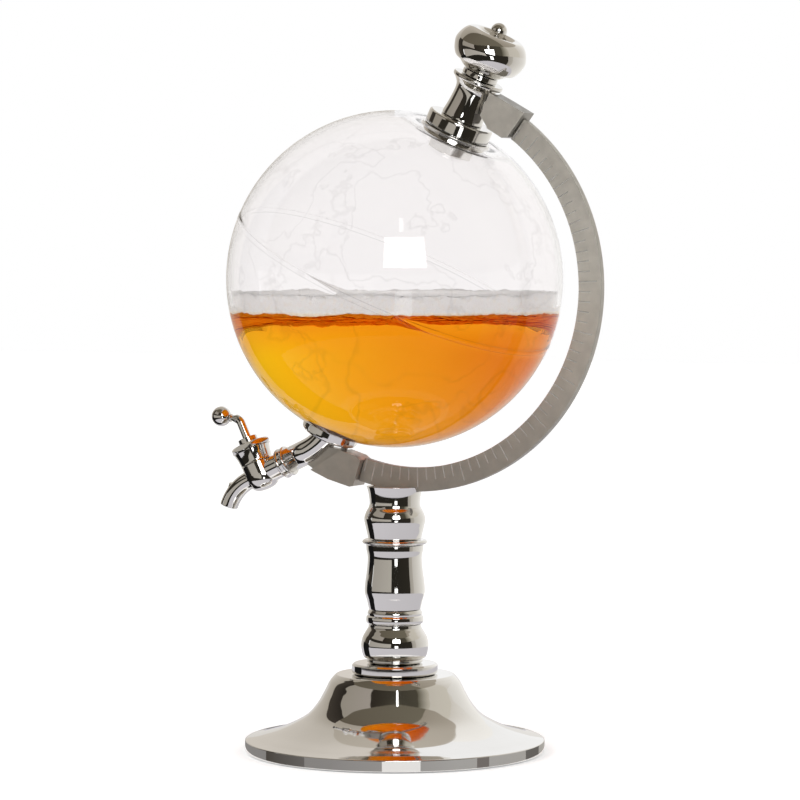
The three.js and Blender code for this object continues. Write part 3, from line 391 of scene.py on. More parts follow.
def own_height(tree):
    """The height of a point on the piece's own coordinates."""
    place = tree.nodes.new("ShaderNodeTexCoord")
    split = tree.nodes.new("ShaderNodeSeparateXYZ")
    tree.links.new(place.outputs["Object"], split.inputs["Vector"])
    return split.outputs["Z"]


def satin_nickel(name="satin_nickel", shade=1.0):
    """Plating with painted shade: darker towards the arc's bottom, and darker all over where a shade below one is
    given.
    """
    material, tree, shader = surface(name, (0.6, 0.57, 0.52), 0.34, metallic=0.75)
    # Painted shade: the colour darkens from the globe's centre down to the arc's bottom.
    rise = ramp(tree, own_height(tree), globe_centre.z - ARC_OUTER_RADIUS, globe_centre.z)
    painted_shade_by_height = tint(tree, rise, (0.46, 0.425, 0.38), (0.85, 0.81, 0.74))
    # A shade below one darkens the whole colour, as painted shade.
    patches = tint(tree, mottle(tree, 140, 0, 1), (0.86 * shade,) * 3, (shade,) * 3)
    tree.links.new(tint(tree, 1, painted_shade_by_height, patches, blend="MULTIPLY"), shader.inputs["Base Color"])
    tree.links.new(mottle(tree, 260, 0.28, 0.42), shader.inputs["Roughness"])
    bumped(tree, shader, mottle(tree, 2600, 0, 1, detail=1), 0.012 * MM)
    return material


def paint_shade_on_sides(piece, material):
    """Gives the faces that look neither forwards nor back a material of their own, a darker copy that paints shade on
    them.
    """
    piece.data.materials.append(material)
    for face in piece.data.polygons:
        if abs(face.normal.y) < SIDE_FACING:
            face.material_index = 1


def arc_direction(degrees):
    return Vector((math.sin(math.radians(degrees)), 0, math.cos(math.radians(degrees))))


nickel = satin_nickel()
bar = bmesh.new()
start = arc_direction(ARC_START)
corners = [
    bar.verts.new(arc_centre + start * radius + Vector((0, side * arc_thickness / 2, 0)))
    for radius, side in ((ARC_INNER_RADIUS, -1), (ARC_OUTER_RADIUS, -1), (ARC_OUTER_RADIUS, 1),
                         (ARC_INNER_RADIUS, 1))
]
end_face = bar.faces.new(corners)
bmesh.ops.spin(
    bar, geom=[end_face], cent=arc_centre, axis=(0, 1, 0), angle=math.radians(ARC_END - ARC_START),
    steps=ARC_STEPS,
)
arc = finished(bar, "graduated_arc", "stand", nickel, edge=0.35 * MM, place=NECK)
# The arc's sides get painted shade: the nickel at 0.55 of its brightness.
paint_shade_on_sides(arc, satin_nickel("arc_side_painted_shade", shade=0.55))

marks = bmesh.new()
first_mark = MARK_SPACING * math.ceil(ARC_START / MARK_SPACING)
for i, degrees in enumerate(range(first_mark, int(ARC_END), MARK_SPACING)):
    length = LONG_MARK_LENGTH if i % LONG_MARK_EVERY == LONG_MARK_FIRST else MARK_LENGTH
    outward = arc_direction(degrees)
    middle = arc_centre + outward * (ARC_INNER_RADIUS + length / 2 - MARK_OVERRUN)
    middle.y = -arc_thickness / 2
    turn = Matrix.Rotation(math.radians(degrees), 4, "Y")
    groove = Matrix.Diagonal((MARK_HALF_WIDTH * PRISM_SPREAD, MARK_DEPTH, 1, 1))
    bmesh.ops.create_cone(
        marks, cap_ends=True, segments=3, radius1=1, radius2=1, depth=length + 2 * MARK_OVERRUN,
        matrix=NECK @ Matrix.Translation(middle) @ turn @ groove,
    )
mark_cutter = made_object(marks, "mark_cutter")
mark_paint, mark_tree, mark_shader = surface("mark_paint", (0.48, 0.46, 0.43), 0.7)
clouded(mark_tree, mark_shader, 300, (0.42, 0.4, 0.37), (0.52, 0.5, 0.47))
mark_cutter.data.materials.append(mark_paint)
cut_away(arc, mark_cutter)
crisp = bmesh.new()
crisp.from_mesh(arc.data)
bmesh.ops.triangulate(crisp, faces=[f for f in crisp.faces if len(f.verts) > 4])
for edge in crisp.edges:
    if edge.is_manifold and edge.calc_face_angle(0) > SHARP_ANGLE:
        edge.smooth = False
crisp.to_mesh(arc.data)
crisp.free()
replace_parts(arc, "meridian_arc")

# End blocks: nickel-plated castings milled to take the arc's tenons, each held by a screw from behind. The upper
# one is hollowed to clear the neck, and the lower one hugs the outlet's bend.
FLAT_ANGLE = math.radians(1)
BLOCK_EDGE = 0.35 * MM


def eased_block(node, name):
    """A copy of a block's CAD node with its edges eased, which takes the node's place."""
    bm = bmesh.new()
    bm.from_mesh(frame["nodes"][node].data)
    bmesh.ops.remove_doubles(bm, verts=bm.verts, dist=MERGE_DISTANCE)
    bmesh.ops.dissolve_limit(bm, angle_limit=FLAT_ANGLE, verts=bm.verts, edges=bm.edges)
    block = finished(bm, name, "stand", nickel, edge=BLOCK_EDGE)
    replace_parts(block, node)
    return block


# The upper block's sides get painted shade: the nickel at 0.35 of its brightness.
paint_shade_on_sides(eased_block("upper_block", "upper_end_block"), satin_nickel("block_side_painted_shade", shade=0.35))
eased_block("lower_block", "lower_end_block")
for node in ("saddle_screw", "upper_block_screw", "neck_stud", "lower_block_screw", "flange_bolt"):
    dress(node, steel)

# Globe: two half shells moulded in clear plastic and bonded at the middle, where a fine bead runs round. Each has a
# sunk flat land round its neck's hole, which the upper one eases into, and faint raised coastlines of no real
# country run over the outside.
GLOBE_WALL = 2.5 * MM
RECESS_RADIUS = 22.9 * MM  # of the lower neck's recess
LAND_RADIUS = 22.6 * MM
LAND_LEVEL = 92.6 * MM
EASE_FROM = 36 * MM  # where the upper half leaves its sphere
EASE_LEVEL = 94.9 * MM  # of the flat that it comes to, round the filler's flange
EASE_STEPS = 8
FLANGE_ROOM = 0.15 * MM
INNER_ROOM = 1.4 * MM
RECESS_LEVEL = 97 * MM
FILLER_HOLE = 10.5 * MM
OUTLET_HOLE = 7.9 * MM
SEAM_PROUD = 0.5 * MM  # how far the bead stands out on the solids
SEAM_RISE = 0.2 * MM
SEAM_FLAT = 1.3 * MM  # half the band's flat, and then half the whole band
SEAM_HALF = 1.6 * MM
GLOBE_STEPS = 60
GLOBE_SIDES = 192
WETTED_ABOVE = 4 * MM
COAST_SCALE = 13
COAST_STOPS = {0.528: 0, 0.536: 1, 0.544: 0}  # a coast's line, over the noise that draws it
COAST_TINT = (0.83, 0.81, 0.81)
COAST_DEPTH = 0.01 * MM
CLEAR = (0.975, 0.96, 0.96)


def clear_shell(name, relief=0.0, bend=1.45, colour=CLEAR):
    """Clear plastic that bends light by an index of refraction, with coastlines where it has a relief."""
    material, tree, shader = surface(name, colour, 0.0)
    shader.inputs["Transmission Weight"].default_value = 1
    shader.inputs["IOR"].default_value = bend
    if not relief:
        return material
    place = tree.nodes.new("ShaderNodeTexCoord")
    coast = tree.nodes.new("ShaderNodeTexNoise")
    coast.inputs["Scale"].default_value = COAST_SCALE
    coast.inputs["Detail"].default_value = 5
    line = tree.nodes.new("ShaderNodeValToRGB")
    stops = line.color_ramp.elements
    stops.remove(stops[1])
    stops[0].position, stops[0].color = 0, (0, 0, 0, 1)
    for position, level in COAST_STOPS.items():
        stops.new(position).color = (level, level, level, 1)
    tree.links.new(place.outputs["Object"], coast.inputs["Vector"])
    tree.links.new(coast.outputs["Fac"], line.inputs["Fac"])
    tree.links.new(tint(tree, line.outputs["Color"], colour, COAST_TINT), shader.inputs["Base Color"])
    bumped(tree, shader, line.outputs["Color"], relief)
    return material


def circle_stretch(radius, low, high, steps):
    """Points of an arc of a circle round the centre, from one height to another."""
    start, end = math.asin(low / radius), math.asin(high / radius)
    angles = [start + (end - start) * i / steps for i in range(steps + 1)]
    return [(radius * math.cos(a), radius * math.sin(a)) for a in angles]


def globe_side(inset):
    """The wall's outer or inner side, from the outlet's hole up to the filler's."""
    radius = globe_radius - inset
    recess_height = math.sqrt(radius**2 - RECESS_RADIUS**2)
    land = LAND_LEVEL - inset
    lower = outline([(OUTLET_HOLE, -land), (LAND_RADIUS, -land)])
    ease_high = math.sqrt(radius**2 - EASE_FROM**2)
    level = EASE_LEVEL - inset
    corner = EASE_FROM - (level - ease_high) * ease_high / EASE_FROM
    leaving, turning = Vector((EASE_FROM, ease_high)), Vector((corner, level))
    flat = Vector((2 * corner - EASE_FROM, level))
    shares = [i / EASE_STEPS for i in range(1, EASE_STEPS + 1)]
    eased = [leaving.lerp(turning, t).lerp(turning.lerp(flat, t), t) for t in shares]
    edge = flange_radius + (INNER_ROOM if inset else FLANGE_ROOM)
    upper = eased + outline([(edge, level), (edge, land)], [(edge, land), (FILLER_HOLE, land)])
    if inset:
        middle = circle_stretch(radius, -recess_height, ease_high, 2 * GLOBE_STEPS)
    else:
        foot = circle_stretch(radius, -recess_height, -SEAM_HALF, GLOBE_STEPS)
        band = circle_stretch(radius + SEAM_RISE, -SEAM_FLAT, SEAM_FLAT, 2)
        middle = foot + band + circle_stretch(radius, SEAM_HALF, ease_high, GLOBE_STEPS)
    return lower + [Vector(p) for p in middle] + upper


clear = clear_shell("clear_shell", relief=COAST_DEPTH)
wetted = clear_shell("wetted_shell", relief=COAST_DEPTH, bend=1.22, colour=(1, 1, 1))
seam_clear, _, seam_shader = surface("clear_seam", (0.62, 0.6, 0.6), 0.05)
seam_shader.inputs["Transmission Weight"].default_value = 1
beer_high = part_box("beer")[1].z
globe_radius = turned_size("globe_upper_half", NECK)[2] - SEAM_PROUD
flange_radius = turned_size("upper_flange", NECK)[2]
globe_outline = globe_side(0) + globe_side(GLOBE_WALL)[::-1]
shell = finished(spun(globe_outline + globe_outline[:1], steps=GLOBE_SIDES), "clear_shell", "stand",
                 clear)
wetted_inside = clear_shell("wetted_inside", bend=1.0, colour=(1, 1, 1))
for material in (clear_shell("clear_inside"), wetted, wetted_inside, seam_clear):
    shell.data.materials.append(material)
for face in shell.data.polygons:
    inside = face.center.length < globe_radius - GLOBE_WALL / 2 and abs(face.center.z) < RECESS_LEVEL
    wet = (NECK @ face.center).z < beer_high + (WETTED_ABOVE if inside else 0)
    face.material_index = 2 * wet + inside
    if SEAM_FLAT < abs(face.center.z) < SEAM_HALF and not inside:
        face.material_index = 4
shell.data.transform(NECK)
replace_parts(shell, "globe_upper_half", "globe_lower_half")

# Contents: lager with a head of foam on it. Both fill the globe from wall to wall, and their tops are level while
# the globe leans. The foam is fine above, and its lowest bubbles are coarse and tinged by the drink.
WETTED_GAP = 0.04 * MM
# Painted shade: the drink's top layer is darkened down to these depths.
SHADED_DEPTH = 14 * MM
SHADE_FULL_DEPTH = 2 * MM
# Painted light and shade across the drink: pale on its lit side, deep on its shaded one.
PAINTED_LIGHT_TO_SHADE = (0.89, 0.455, 0)  # across the picture
PAINTED_LIGHT_SHARE = 0.8  # of the globe's radius, from its middle to where the tones across it end
ABSORPTION = 12
WET_FOAM_DEPTH = 1.6 * MM
CONTENTS_SIDES = 360
LEVEL_RINGS = 36
SWELL = 1.5 * MM
SWELL_SCALE = 38
FROTH = 0.9 * MM
FROTH_SCALE = 210
BUBBLE_SCALE = 520
# Painted light: a faint glow for the light that the globe's wall keeps off the foam.
FOAM_PAINTED_LIGHT = 0.08
CELL_SCALE = 900
CELL_DEPTH = 0.3 * MM


def stirred(tree, value, cloud):
    """A value with a cloud's added to it, so that what it drives has an uneven edge."""
    added = tree.nodes.new("ShaderNodeMath")
    added.operation = "MULTIPLY_ADD"
    added.inputs[1].default_value = 1
    tree.links.new(cloud, added.inputs[0])
    tree.links.new(value, added.inputs[2])
    added.use_clamp = True
    return added.outputs["Value"]


def lager():
    """Clear drink with painted light and shade: paler on one side of the globe than on the other, and painted shade
    of uneven depth in its top layer.
    """
    material, tree, shader = surface("lager", (1, 0.62, 0.08), 0.0)
    shader.inputs["Transmission Weight"].default_value = 1
    shader.inputs["IOR"].default_value = 1.0
    # Painted shade: the top layer darkens to an uneven depth below the drink's level.
    depth = ramp(tree, own_height(tree), beer_high - SHADED_DEPTH, beer_high - SHADE_FULL_DEPTH, smooth=True)
    shade = stirred(tree, depth, mottle(tree, 22, -0.35, 0.35, detail=1))
    # Painted light: the drink is paler on one side of the globe and deeper on the other.
    place = tree.nodes.new("ShaderNodeTexCoord")
    across = tree.nodes.new("ShaderNodeVectorMath")
    across.operation = "DOT_PRODUCT"
    across.inputs[1].default_value = PAINTED_LIGHT_TO_SHADE
    tree.links.new(place.outputs["Object"], across.inputs[0])
    side = ramp(tree, across.outputs["Value"], -PAINTED_LIGHT_SHARE * globe_radius, PAINTED_LIGHT_SHARE * globe_radius)
    body = tint(tree, side, (1, 0.78, 0.04), (0.7, 0.17, 0.02))
    tree.links.new(tint(tree, shade, body, (0.9, 0.47, 0.07)), shader.inputs["Base Color"])
    absorb = tree.nodes.new("ShaderNodeVolumeAbsorption")
    absorb.inputs["Color"].default_value = (1, 0.78, 0.03, 1)
    absorb.inputs["Density"].default_value = ABSORPTION
    output = tree.nodes["Material Output"]
    tree.links.new(absorb.outputs["Volume"], output.inputs["Volume"])
    return material


def foam_head():
    """White foam of fine bubbles, tinged by the drink at its foot, with a faint glow of painted light."""
    material, tree, shader = surface("foam_head", (0.98, 0.965, 0.95), 0.65)
    # Painted light: a faint glow that lights the foam from within.
    shader.inputs["Emission Color"].default_value = (1, 0.96, 0.94, 1)
    shader.inputs["Emission Strength"].default_value = FOAM_PAINTED_LIGHT
    place = tree.nodes.new("ShaderNodeTexCoord")
    cells = tree.nodes.new("ShaderNodeTexVoronoi")
    cells.inputs["Scale"].default_value = CELL_SCALE
    tree.links.new(place.outputs["Object"], cells.inputs["Vector"])
    bumped(tree, shader, cells.outputs["Distance"], CELL_DEPTH)
    rise = ramp(tree, own_height(tree), foam_low, foam_low + WET_FOAM_DEPTH)
    dry = stirred(tree, rise, mottle(tree, 420, -0.3, 0.3))
    tree.links.new(tint(tree, dry, (0.93, 0.8, 0.62), (0.98, 0.965, 0.95)), shader.inputs["Base Color"])
    return material


def contents():
    """All of the globe's inside, as a solid in the world's frame."""
    radius = globe_radius - GLOBE_WALL - WETTED_GAP
    recess_height = math.sqrt(radius**2 - RECESS_RADIUS**2)
    land = LAND_LEVEL - GLOBE_WALL - WETTED_GAP
    side = [Vector(p) for p in circle_stretch(radius, -recess_height, recess_height, GLOBE_STEPS)]
    points = outline([(0, -land), (LAND_RADIUS, -land)]) + side + outline([(LAND_RADIUS, land), (0, land)])
    bm = spun(points, steps=CONTENTS_SIDES)
    bmesh.ops.recalc_face_normals(bm, faces=bm.faces)
    bmesh.ops.transform(bm, matrix=NECK, verts=bm.verts)
    return bm


def cut_level(bm, height, keep_below, swell, froth):
    """Cuts the contents off at a height, and closes the cut with an uneven surface."""
    cut = bmesh.ops.bisect_plane(
        bm, geom=bm.verts[:] + bm.edges[:] + bm.faces[:], plane_co=(0, 0, height), plane_no=(0, 0, 1),
        clear_outer=keep_below, clear_inner=not keep_below,
    )
    radius = globe_radius - GLOBE_WALL - WETTED_GAP
    middle = Vector((globe_centre.x, globe_centre.y, height))
    rim = [v for v in cut["geom_cut"] if isinstance(v, bmesh.types.BMVert)]
    rim.sort(key=lambda v: math.atan2(v.co.y - middle.y, v.co.x - middle.x))

    def uneven(spot):
        fine = noise.noise(spot * FROTH_SCALE) + noise.noise(spot * BUBBLE_SCALE) / 2
        return swell * noise.noise(spot * SWELL_SCALE) + froth * fine

    for vert in rim:
        outward = vert.co - middle
        vert.co.z += uneven(vert.co)
        rise = vert.co.z - globe_centre.z
        vert.co.xy = middle.xy + outward.xy.normalized() * math.sqrt(radius**2 - rise**2)
    outer = rim
    for ring in range(1, LEVEL_RINGS):
        inner = []
        for vert in rim:
            spot = middle.lerp(Vector((*vert.co.xy, height)), 1 - ring / LEVEL_RINGS)
            inner.append(bm.verts.new(spot + Vector((0, 0, uneven(spot)))))
        for i, vert in enumerate(outer):
            after = (i + 1) % len(rim)
            bm.faces.new((vert, outer[after], inner[after], inner[i]))
        outer = inner
    peak = bm.verts.new(middle + Vector((0, 0, uneven(middle))))
    for i, vert in enumerate(outer):
        bm.faces.new((vert, outer[(i + 1) % len(rim)], peak))


foam_low, foam_high = (corner.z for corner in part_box("beer_foam"))
beer = contents()
cut_level(beer, beer_high, keep_below=True, swell=SWELL, froth=FROTH)
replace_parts(finished(beer, "lager_fill", "stand", lager()), "beer")
foam = contents()
cut_level(foam, foam_low, keep_below=False, swell=SWELL, froth=FROTH)
cut_level(foam, foam_high, keep_below=True, swell=SWELL, froth=1.5 * FROTH)
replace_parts(finished(foam, "foam_layer", "stand", foam_head()), "beer_foam")

# Upper neck fittings: a pale silicone gasket on the globe's land, then a thin flange, a plain collar and the
# bell-mouthed filler neck, all turned from brass and plated. The neck's threaded shank goes through the globe to a
# nut and another gasket inside.
NECK_SHARES = [
    [(0.82, 0), (0.812, 0.07), (0.77, 0.22), (0.735, 0.39), (0.712, 0.62), (0.755, 0.75), (0.88, 0.855),
     (0.98, 0.905)],
    [(0.98, 0.905), (1, 0.93), (1, 0.98)], [(1, 0.98), (0.97, 1)],
]
SHANK_RADIUS = 10.2 * MM
FILL_BORE = 8.2 * MM
NECK_FOOT = 104.3 * MM  # from the globe's centre
SILICONE_DEPTH = 2 * MM  # that light sinks into it


def washer(node, name, bore, material, body="stand", place=NECK, edge=0.2 * MM):
    """A flat ring with eased edges, as thick and wide as its node."""
    low, high, radius = turned_size(node, place)
    points = angular((bore, low), (radius, low), (radius, high), (bore, high), (bore, low))
    ring = finished(spun(points), name, body, material, edge=edge, place=place)
    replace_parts(ring, node)


def hexagon(node, name, place, edge=0.4 * MM):
    """A plated hexagon nut, as high as its node and as wide over its corners."""
    low, high, radius = turned_size(node, place)
    bm = bmesh.new()
    bmesh.ops.create_cone(
        bm, cap_ends=True, segments=6, radius1=radius, radius2=radius, depth=high - low,
        matrix=Matrix.Translation((0, 0, (low + high) / 2)) @ Matrix.Rotation(math.pi / 2, 4, "Z"),
    )
    return plated(bm, name, node, edge=edge, place=place)


silicone = finish("pale_silicone", (0.82, 0.8, 0.76), 0.45, (120, (0.74, 0.72, 0.68), (0.86, 0.85, 0.82)),
                  relief=(700, 0.02 * MM))
silicone_shader = silicone.node_tree.nodes["Principled BSDF"]
silicone_shader.inputs["Subsurface Weight"].default_value = 0.2
silicone_shader.inputs["Subsurface Radius"].default_value = (SILICONE_DEPTH,) * 3
washer("upper_gasket", "neck_gasket", FILLER_HOLE, silicone)
washer("upper_flange", "neck_flange", SHANK_RADIUS, chrome, edge=0.4 * MM)
turned_piece("upper_collar", "neck_collar", [[(1, 0), (1, 0.8)], [(1, 0.8), (0.985, 0.93), (0.94, 1)]],
             place=NECK, bore=SHANK_RADIUS)
washer("upper_inner_gasket", "inner_gasket", SHANK_RADIUS, silicone)
hexagon("upper_inner_nut", "inner_nut", NECK)

shank_foot, neck_top, mouth_radius = turned_size("filler_neck", NECK)
neck_side = at_size(NECK_SHARES, mouth_radius, NECK_FOOT, neck_top)
neck_points = outline(
    [(FILL_BORE, shank_foot), (SHANK_RADIUS, shank_foot)], [(SHANK_RADIUS, shank_foot), (SHANK_RADIUS, NECK_FOOT)],
    [(SHANK_RADIUS, NECK_FOOT), neck_side[0][0]], *neck_side, [neck_side[-1][-1], (FILL_BORE, neck_top)],
    [(FILL_BORE, neck_top), (FILL_BORE, shank_foot)],
)
plated(spun(neck_points), "bell_mouthed_neck", "filler_neck", place=NECK)

# Stopper: a plated brass plug with two silicone rings, an apple-shaped knob turned hollow at its top, and a ball
# finial whose stud holds the three together. It lifts out of the neck in one piece.
KNOB_SHARES = [
    [(0.47, 0), (0.58, 0.06), (0.7, 0.155)],
    [(0.7, 0.155), (0.835, 0.2), (0.94, 0.345), (1, 0.55), (0.965, 0.71), (0.87, 0.87), (0.74, 0.975), (0.6, 1),
     (0.47, 0.955), (0.36, 0.86), (0.22, 0.81), (0.12, 0.8)],
]
STUD_RADIUS = 2 * MM
PLUG_RADIUS = 7.8 * MM
PLUG_TIP_RADIUS = 6.9 * MM
PLUG_LEAD = 1.8 * MM  # length of its tapered end
SEAL_DEPTH = 1 * MM
BALL_SHARE = 0.9  # of the finial's ball below its middle, down to the stud
POLE_SHARE = 0.9999
BALL_SIDES = 64
FINIAL_STEPS = 28

plug_low, plug_high, skirt_radius = turned_size("stopper_plug", NECK)
skirt_low = neck_top + SEAT
plug_points = angular(
    (0, plug_low), (PLUG_TIP_RADIUS, plug_low), (PLUG_RADIUS, plug_low + PLUG_LEAD), (PLUG_RADIUS, skirt_low),
    (skirt_radius, skirt_low), (skirt_radius, plug_high), (0, plug_high),
)
plated(spun(plug_points), "stopper_body", "stopper_plug", "stopper", edge=0.4 * MM, place=NECK)
for node in ("stopper_seal_1", "stopper_seal_2"):
    washer(node, node.replace("stopper", "plug"), PLUG_RADIUS - SEAL_DEPTH, silicone, body="stopper",
           edge=0.5 * MM)
turned_piece("stopper_knob", "apple_knob", KNOB_SHARES, body="stopper", place=NECK, bore=STUD_RADIUS)

stud_low, finial_high, finial_radius = turned_size("stopper_finial", NECK)
finial_centre = finial_high - finial_radius
ball_side = circle_stretch(finial_radius, -BALL_SHARE * finial_radius, POLE_SHARE * finial_radius, FINIAL_STEPS)
finial_points = outline([(0, stud_low), (STUD_RADIUS, stud_low)],
                        [(STUD_RADIUS, stud_low), (STUD_RADIUS, finial_centre + ball_side[0][1])])
finial_points += [Vector((r, finial_centre + z)) for r, z in ball_side] + [Vector((0, finial_high))]
plated(spun(finial_points, BALL_SIDES), "ball_finial", "stopper_finial", "stopper", edge=0, place=NECK)

# Outlet: a brass elbow cast with its flange, polished and plated. Its tail goes up through the globe to a nut and a
# gasket inside, and its pipe bends out to the tap.
PIPE_RADIUS = 7.6 * MM
ELBOW_BEND_RADIUS = 38 * MM
PIPE_END = 16.5 * MM  # from the tap's own axis
FLANGE_SHARES = [[(0.93, 0), (0.985, 0.1), (1, 0.25)], [(1, 0.25), (1, 0.92)], [(1, 0.92), (0.97, 1)]]
FLANGE_LEVEL = 94 * MM  # the flange's top, below the globe's centre
FLANGE_HEIGHT = 10.5 * MM
FLANGE_RADIUS = 17.5 * MM
PIPE_SIDES = 48
BEND_STEPS = 16


class PipeRun:
    """A tube that is drawn on from its open end, straight or round a bend in the XZ plane."""

    def __init__(self, bm, radius, start, heading):
        self.bm = bm
        self.at = start.copy()
        self.heading = heading.normalized()
        self.side = Vector((0, 1, 0)).cross(self.heading)
        turn = Matrix((self.side, Vector((0, 1, 0)), self.heading)).transposed().to_4x4()
        made = bmesh.ops.create_circle(
            bm, cap_ends=False, radius=radius, segments=PIPE_SIDES, matrix=Matrix.Translation(start) @ turn
        )
        self.verts = made["verts"]
        self.edges = list({e for v in self.verts for e in v.link_edges})
        self.first = list(self.edges)

    def straight(self, length, taper=1.0):
        """Runs on ahead, and tapers by a factor over the length."""
        made = bmesh.ops.extrude_edge_only(self.bm, edges=self.edges)["geom"]
        self.verts = [g for g in made if isinstance(g, bmesh.types.BMVert)]
        self.edges = [g for g in made if isinstance(g, bmesh.types.BMEdge)]
        bmesh.ops.translate(self.bm, verts=self.verts, vec=self.heading * length)
        self.at += self.heading * length
        there = Matrix.Translation(-self.at)
        bmesh.ops.scale(self.bm, verts=self.verts, vec=(taper, taper, taper), space=there)

    def bend(self, radius, angle):
        """Turns towards the tube's own side for a positive angle."""
        way = 1 if angle > 0 else -1
        centre = self.at + self.side * (way * radius)
        made = bmesh.ops.spin(
            self.bm, geom=self.verts + self.edges, cent=centre, axis=(0, 1, 0), angle=angle, steps=BEND_STEPS
        )["geom_last"]
        self.verts = [g for g in made if isinstance(g, bmesh.types.BMVert)]
        self.edges = [g for g in made if isinstance(g, bmesh.types.BMEdge)]
        turn = Matrix.Rotation(angle, 3, "Y")
        self.at = centre + turn @ (self.at - centre)
        self.heading = turn @ self.heading
        self.side = turn @ self.side

    def close(self, mouth=0.0, depth=0.0):
        """Caps both ends, and hollows the far one to a mouth of a radius."""
        bmesh.ops.edgeloop_fill(self.bm, edges=self.first)
        caps = bmesh.ops.edgeloop_fill(self.bm, edges=self.edges)["faces"]
        if mouth:
            radius = (self.verts[0].co - self.at).length
            bmesh.ops.inset_region(self.bm, faces=caps, thickness=radius - mouth, use_even_offset=True)
            inner = bmesh.ops.extrude_face_region(self.bm, geom=caps)["geom"]
            moved = [g for g in inner if isinstance(g, bmesh.types.BMVert)]
            bmesh.ops.translate(self.bm, verts=moved, vec=-self.heading * depth)
            bmesh.ops.delete(self.bm, geom=caps, context="FACES_ONLY")


tap_at = Vector(joints["lever_turn"]["pos_m"])
tap_up = Vector(joints["lever_turn"]["axis"]).normalized()
tap_out = Vector((0, -1, 0)).cross(tap_up)
TAP = Matrix.Translation(tap_at) @ Matrix((tap_out, Vector((0, -1, 0)), tap_up)).transposed().to_4x4()
corner = intersect_line_line(globe_centre, globe_centre - globe_axis, tap_at, tap_at - tap_out)[0]
bend_angle = globe_axis.angle(-tap_out)
bend_reach = ELBOW_BEND_RADIUS * math.tan(bend_angle / 2)
elbow_high = measured("outlet_elbow", NECK)[1].z
pipe_start = globe_centre + globe_axis * elbow_high

elbow = bmesh.new()
pipe = PipeRun(elbow, PIPE_RADIUS, pipe_start, -globe_axis)
pipe.straight((pipe_start - corner).length - bend_reach)
pipe.bend(ELBOW_BEND_RADIUS, bend_angle)
pipe.straight((tap_at - corner).length - bend_reach - PIPE_END)
pipe.close()
plated(elbow, "outlet_pipe", "outlet_elbow", edge=0)

flange_low = -FLANGE_LEVEL - FLANGE_HEIGHT
flange_side = at_size(FLANGE_SHARES, FLANGE_RADIUS, flange_low, -FLANGE_LEVEL)
flange_points = outline([(0, flange_low), flange_side[0][0]], *flange_side,
                        [flange_side[-1][-1], (0, -FLANGE_LEVEL)])
plated(spun(flange_points), "outlet_flange", "outlet_elbow", place=NECK)
washer("lower_gasket", "outlet_gasket", PIPE_RADIUS, rubber)
washer("lower_inner_gasket", "outlet_inner_gasket", PIPE_RADIUS, silicone)
hexagon("lower_inner_nut", "outlet_inner_nut", NECK)

# Coupling nut: a ring turned from brass and plated, with a bead round each end. It screws onto the end of the pipe
# and draws the tap's stub up to it.
STUB_RADIUS = 7.4 * MM
COUPLING_SHARES = [
    [(0.93, 0), (0.985, 0.07), (1, 0.17), (0.985, 0.27), (0.95, 0.34)], [(0.95, 0.34), (0.95, 0.66)],
    [(0.95, 0.66), (0.985, 0.73), (1, 0.83), (0.985, 0.93), (0.93, 1)],
]

along_pipe = TAP @ Matrix.Rotation(math.pi / 2, 4, "Y")
turned_piece("coupling_nut", "coupling_ring", COUPLING_SHARES, place=along_pipe, bore=STUB_RADIUS, edge=0.12 * MM)

# Tap body: one brass casting with a round barrel, a stub towards the pipe and a drooping spout with an open mouth.
# It is polished and plated all over.
BARREL_RADIUS = 9.9 * MM
BARREL_BOTTOM = 9.6 * MM  # below the pipe's axis
SPOUT_RADIUS = 5.5 * MM
SPOUT_BORE = 3.9 * MM
SPOUT_REACH = 29.3 * MM
SPOUT_HOLLOW = 14 * MM
SPOUT_DROOP = math.radians(46)
SPOUT_START_SHARE = 0.93  # of the barrel's radius, where the bend begins
BARREL_SHARES = [
    (0, 0), (0.27, 0.012), (0.49, 0.05), (0.66, 0.13), (0.8, 0.25), (0.93, 0.48), (0.985, 0.72), (1, 1),
]

body_low, body_high = measured("tap_body", TAP)
barrel_points = outline(
    [(r * BARREL_RADIUS, (z - 1) * BARREL_BOTTOM) for r, z in BARREL_SHARES],
    [(BARREL_RADIUS, 0), (BARREL_RADIUS, body_high.z)], [(BARREL_RADIUS, body_high.z), (0, body_high.z)],
)
body = spun(barrel_points)
stub = PipeRun(body, STUB_RADIUS, Vector((body_low.x, 0, 0)), Vector((1, 0, 0)))
stub.straight(-body_low.x)
stub.close()
spout_start = SPOUT_START_SHARE * BARREL_RADIUS
spout = PipeRun(body, SPOUT_RADIUS, Vector((spout_start / 2, 0, 0)), Vector((1, 0, 0)))
spout.straight(spout_start / 2)
spout.bend((SPOUT_REACH - spout_start) / math.sin(SPOUT_DROOP), SPOUT_DROOP)
spout.close(mouth=SPOUT_BORE, depth=SPOUT_HOLLOW)
plated(body, "tap_casting", "tap_body", edge=0.3 * MM, place=TAP)

# Bonnet: a plated brass cup that flares upwards, screwed onto the body over the packing, with a hexagon cap whose
# corners are turned to a blunt edge. The cock that it holds down is bare brass, lapped into its seat.
BONNET_SHARES = [[(0.9, 0), (0.885, 0.06), (0.89, 0.2), (0.93, 0.6), (0.985, 0.93)], [(0.985, 0.93), (1, 1)]]
BONNET_BORE = 3.2 * MM
CAP_FACE_SHARE = 0.84

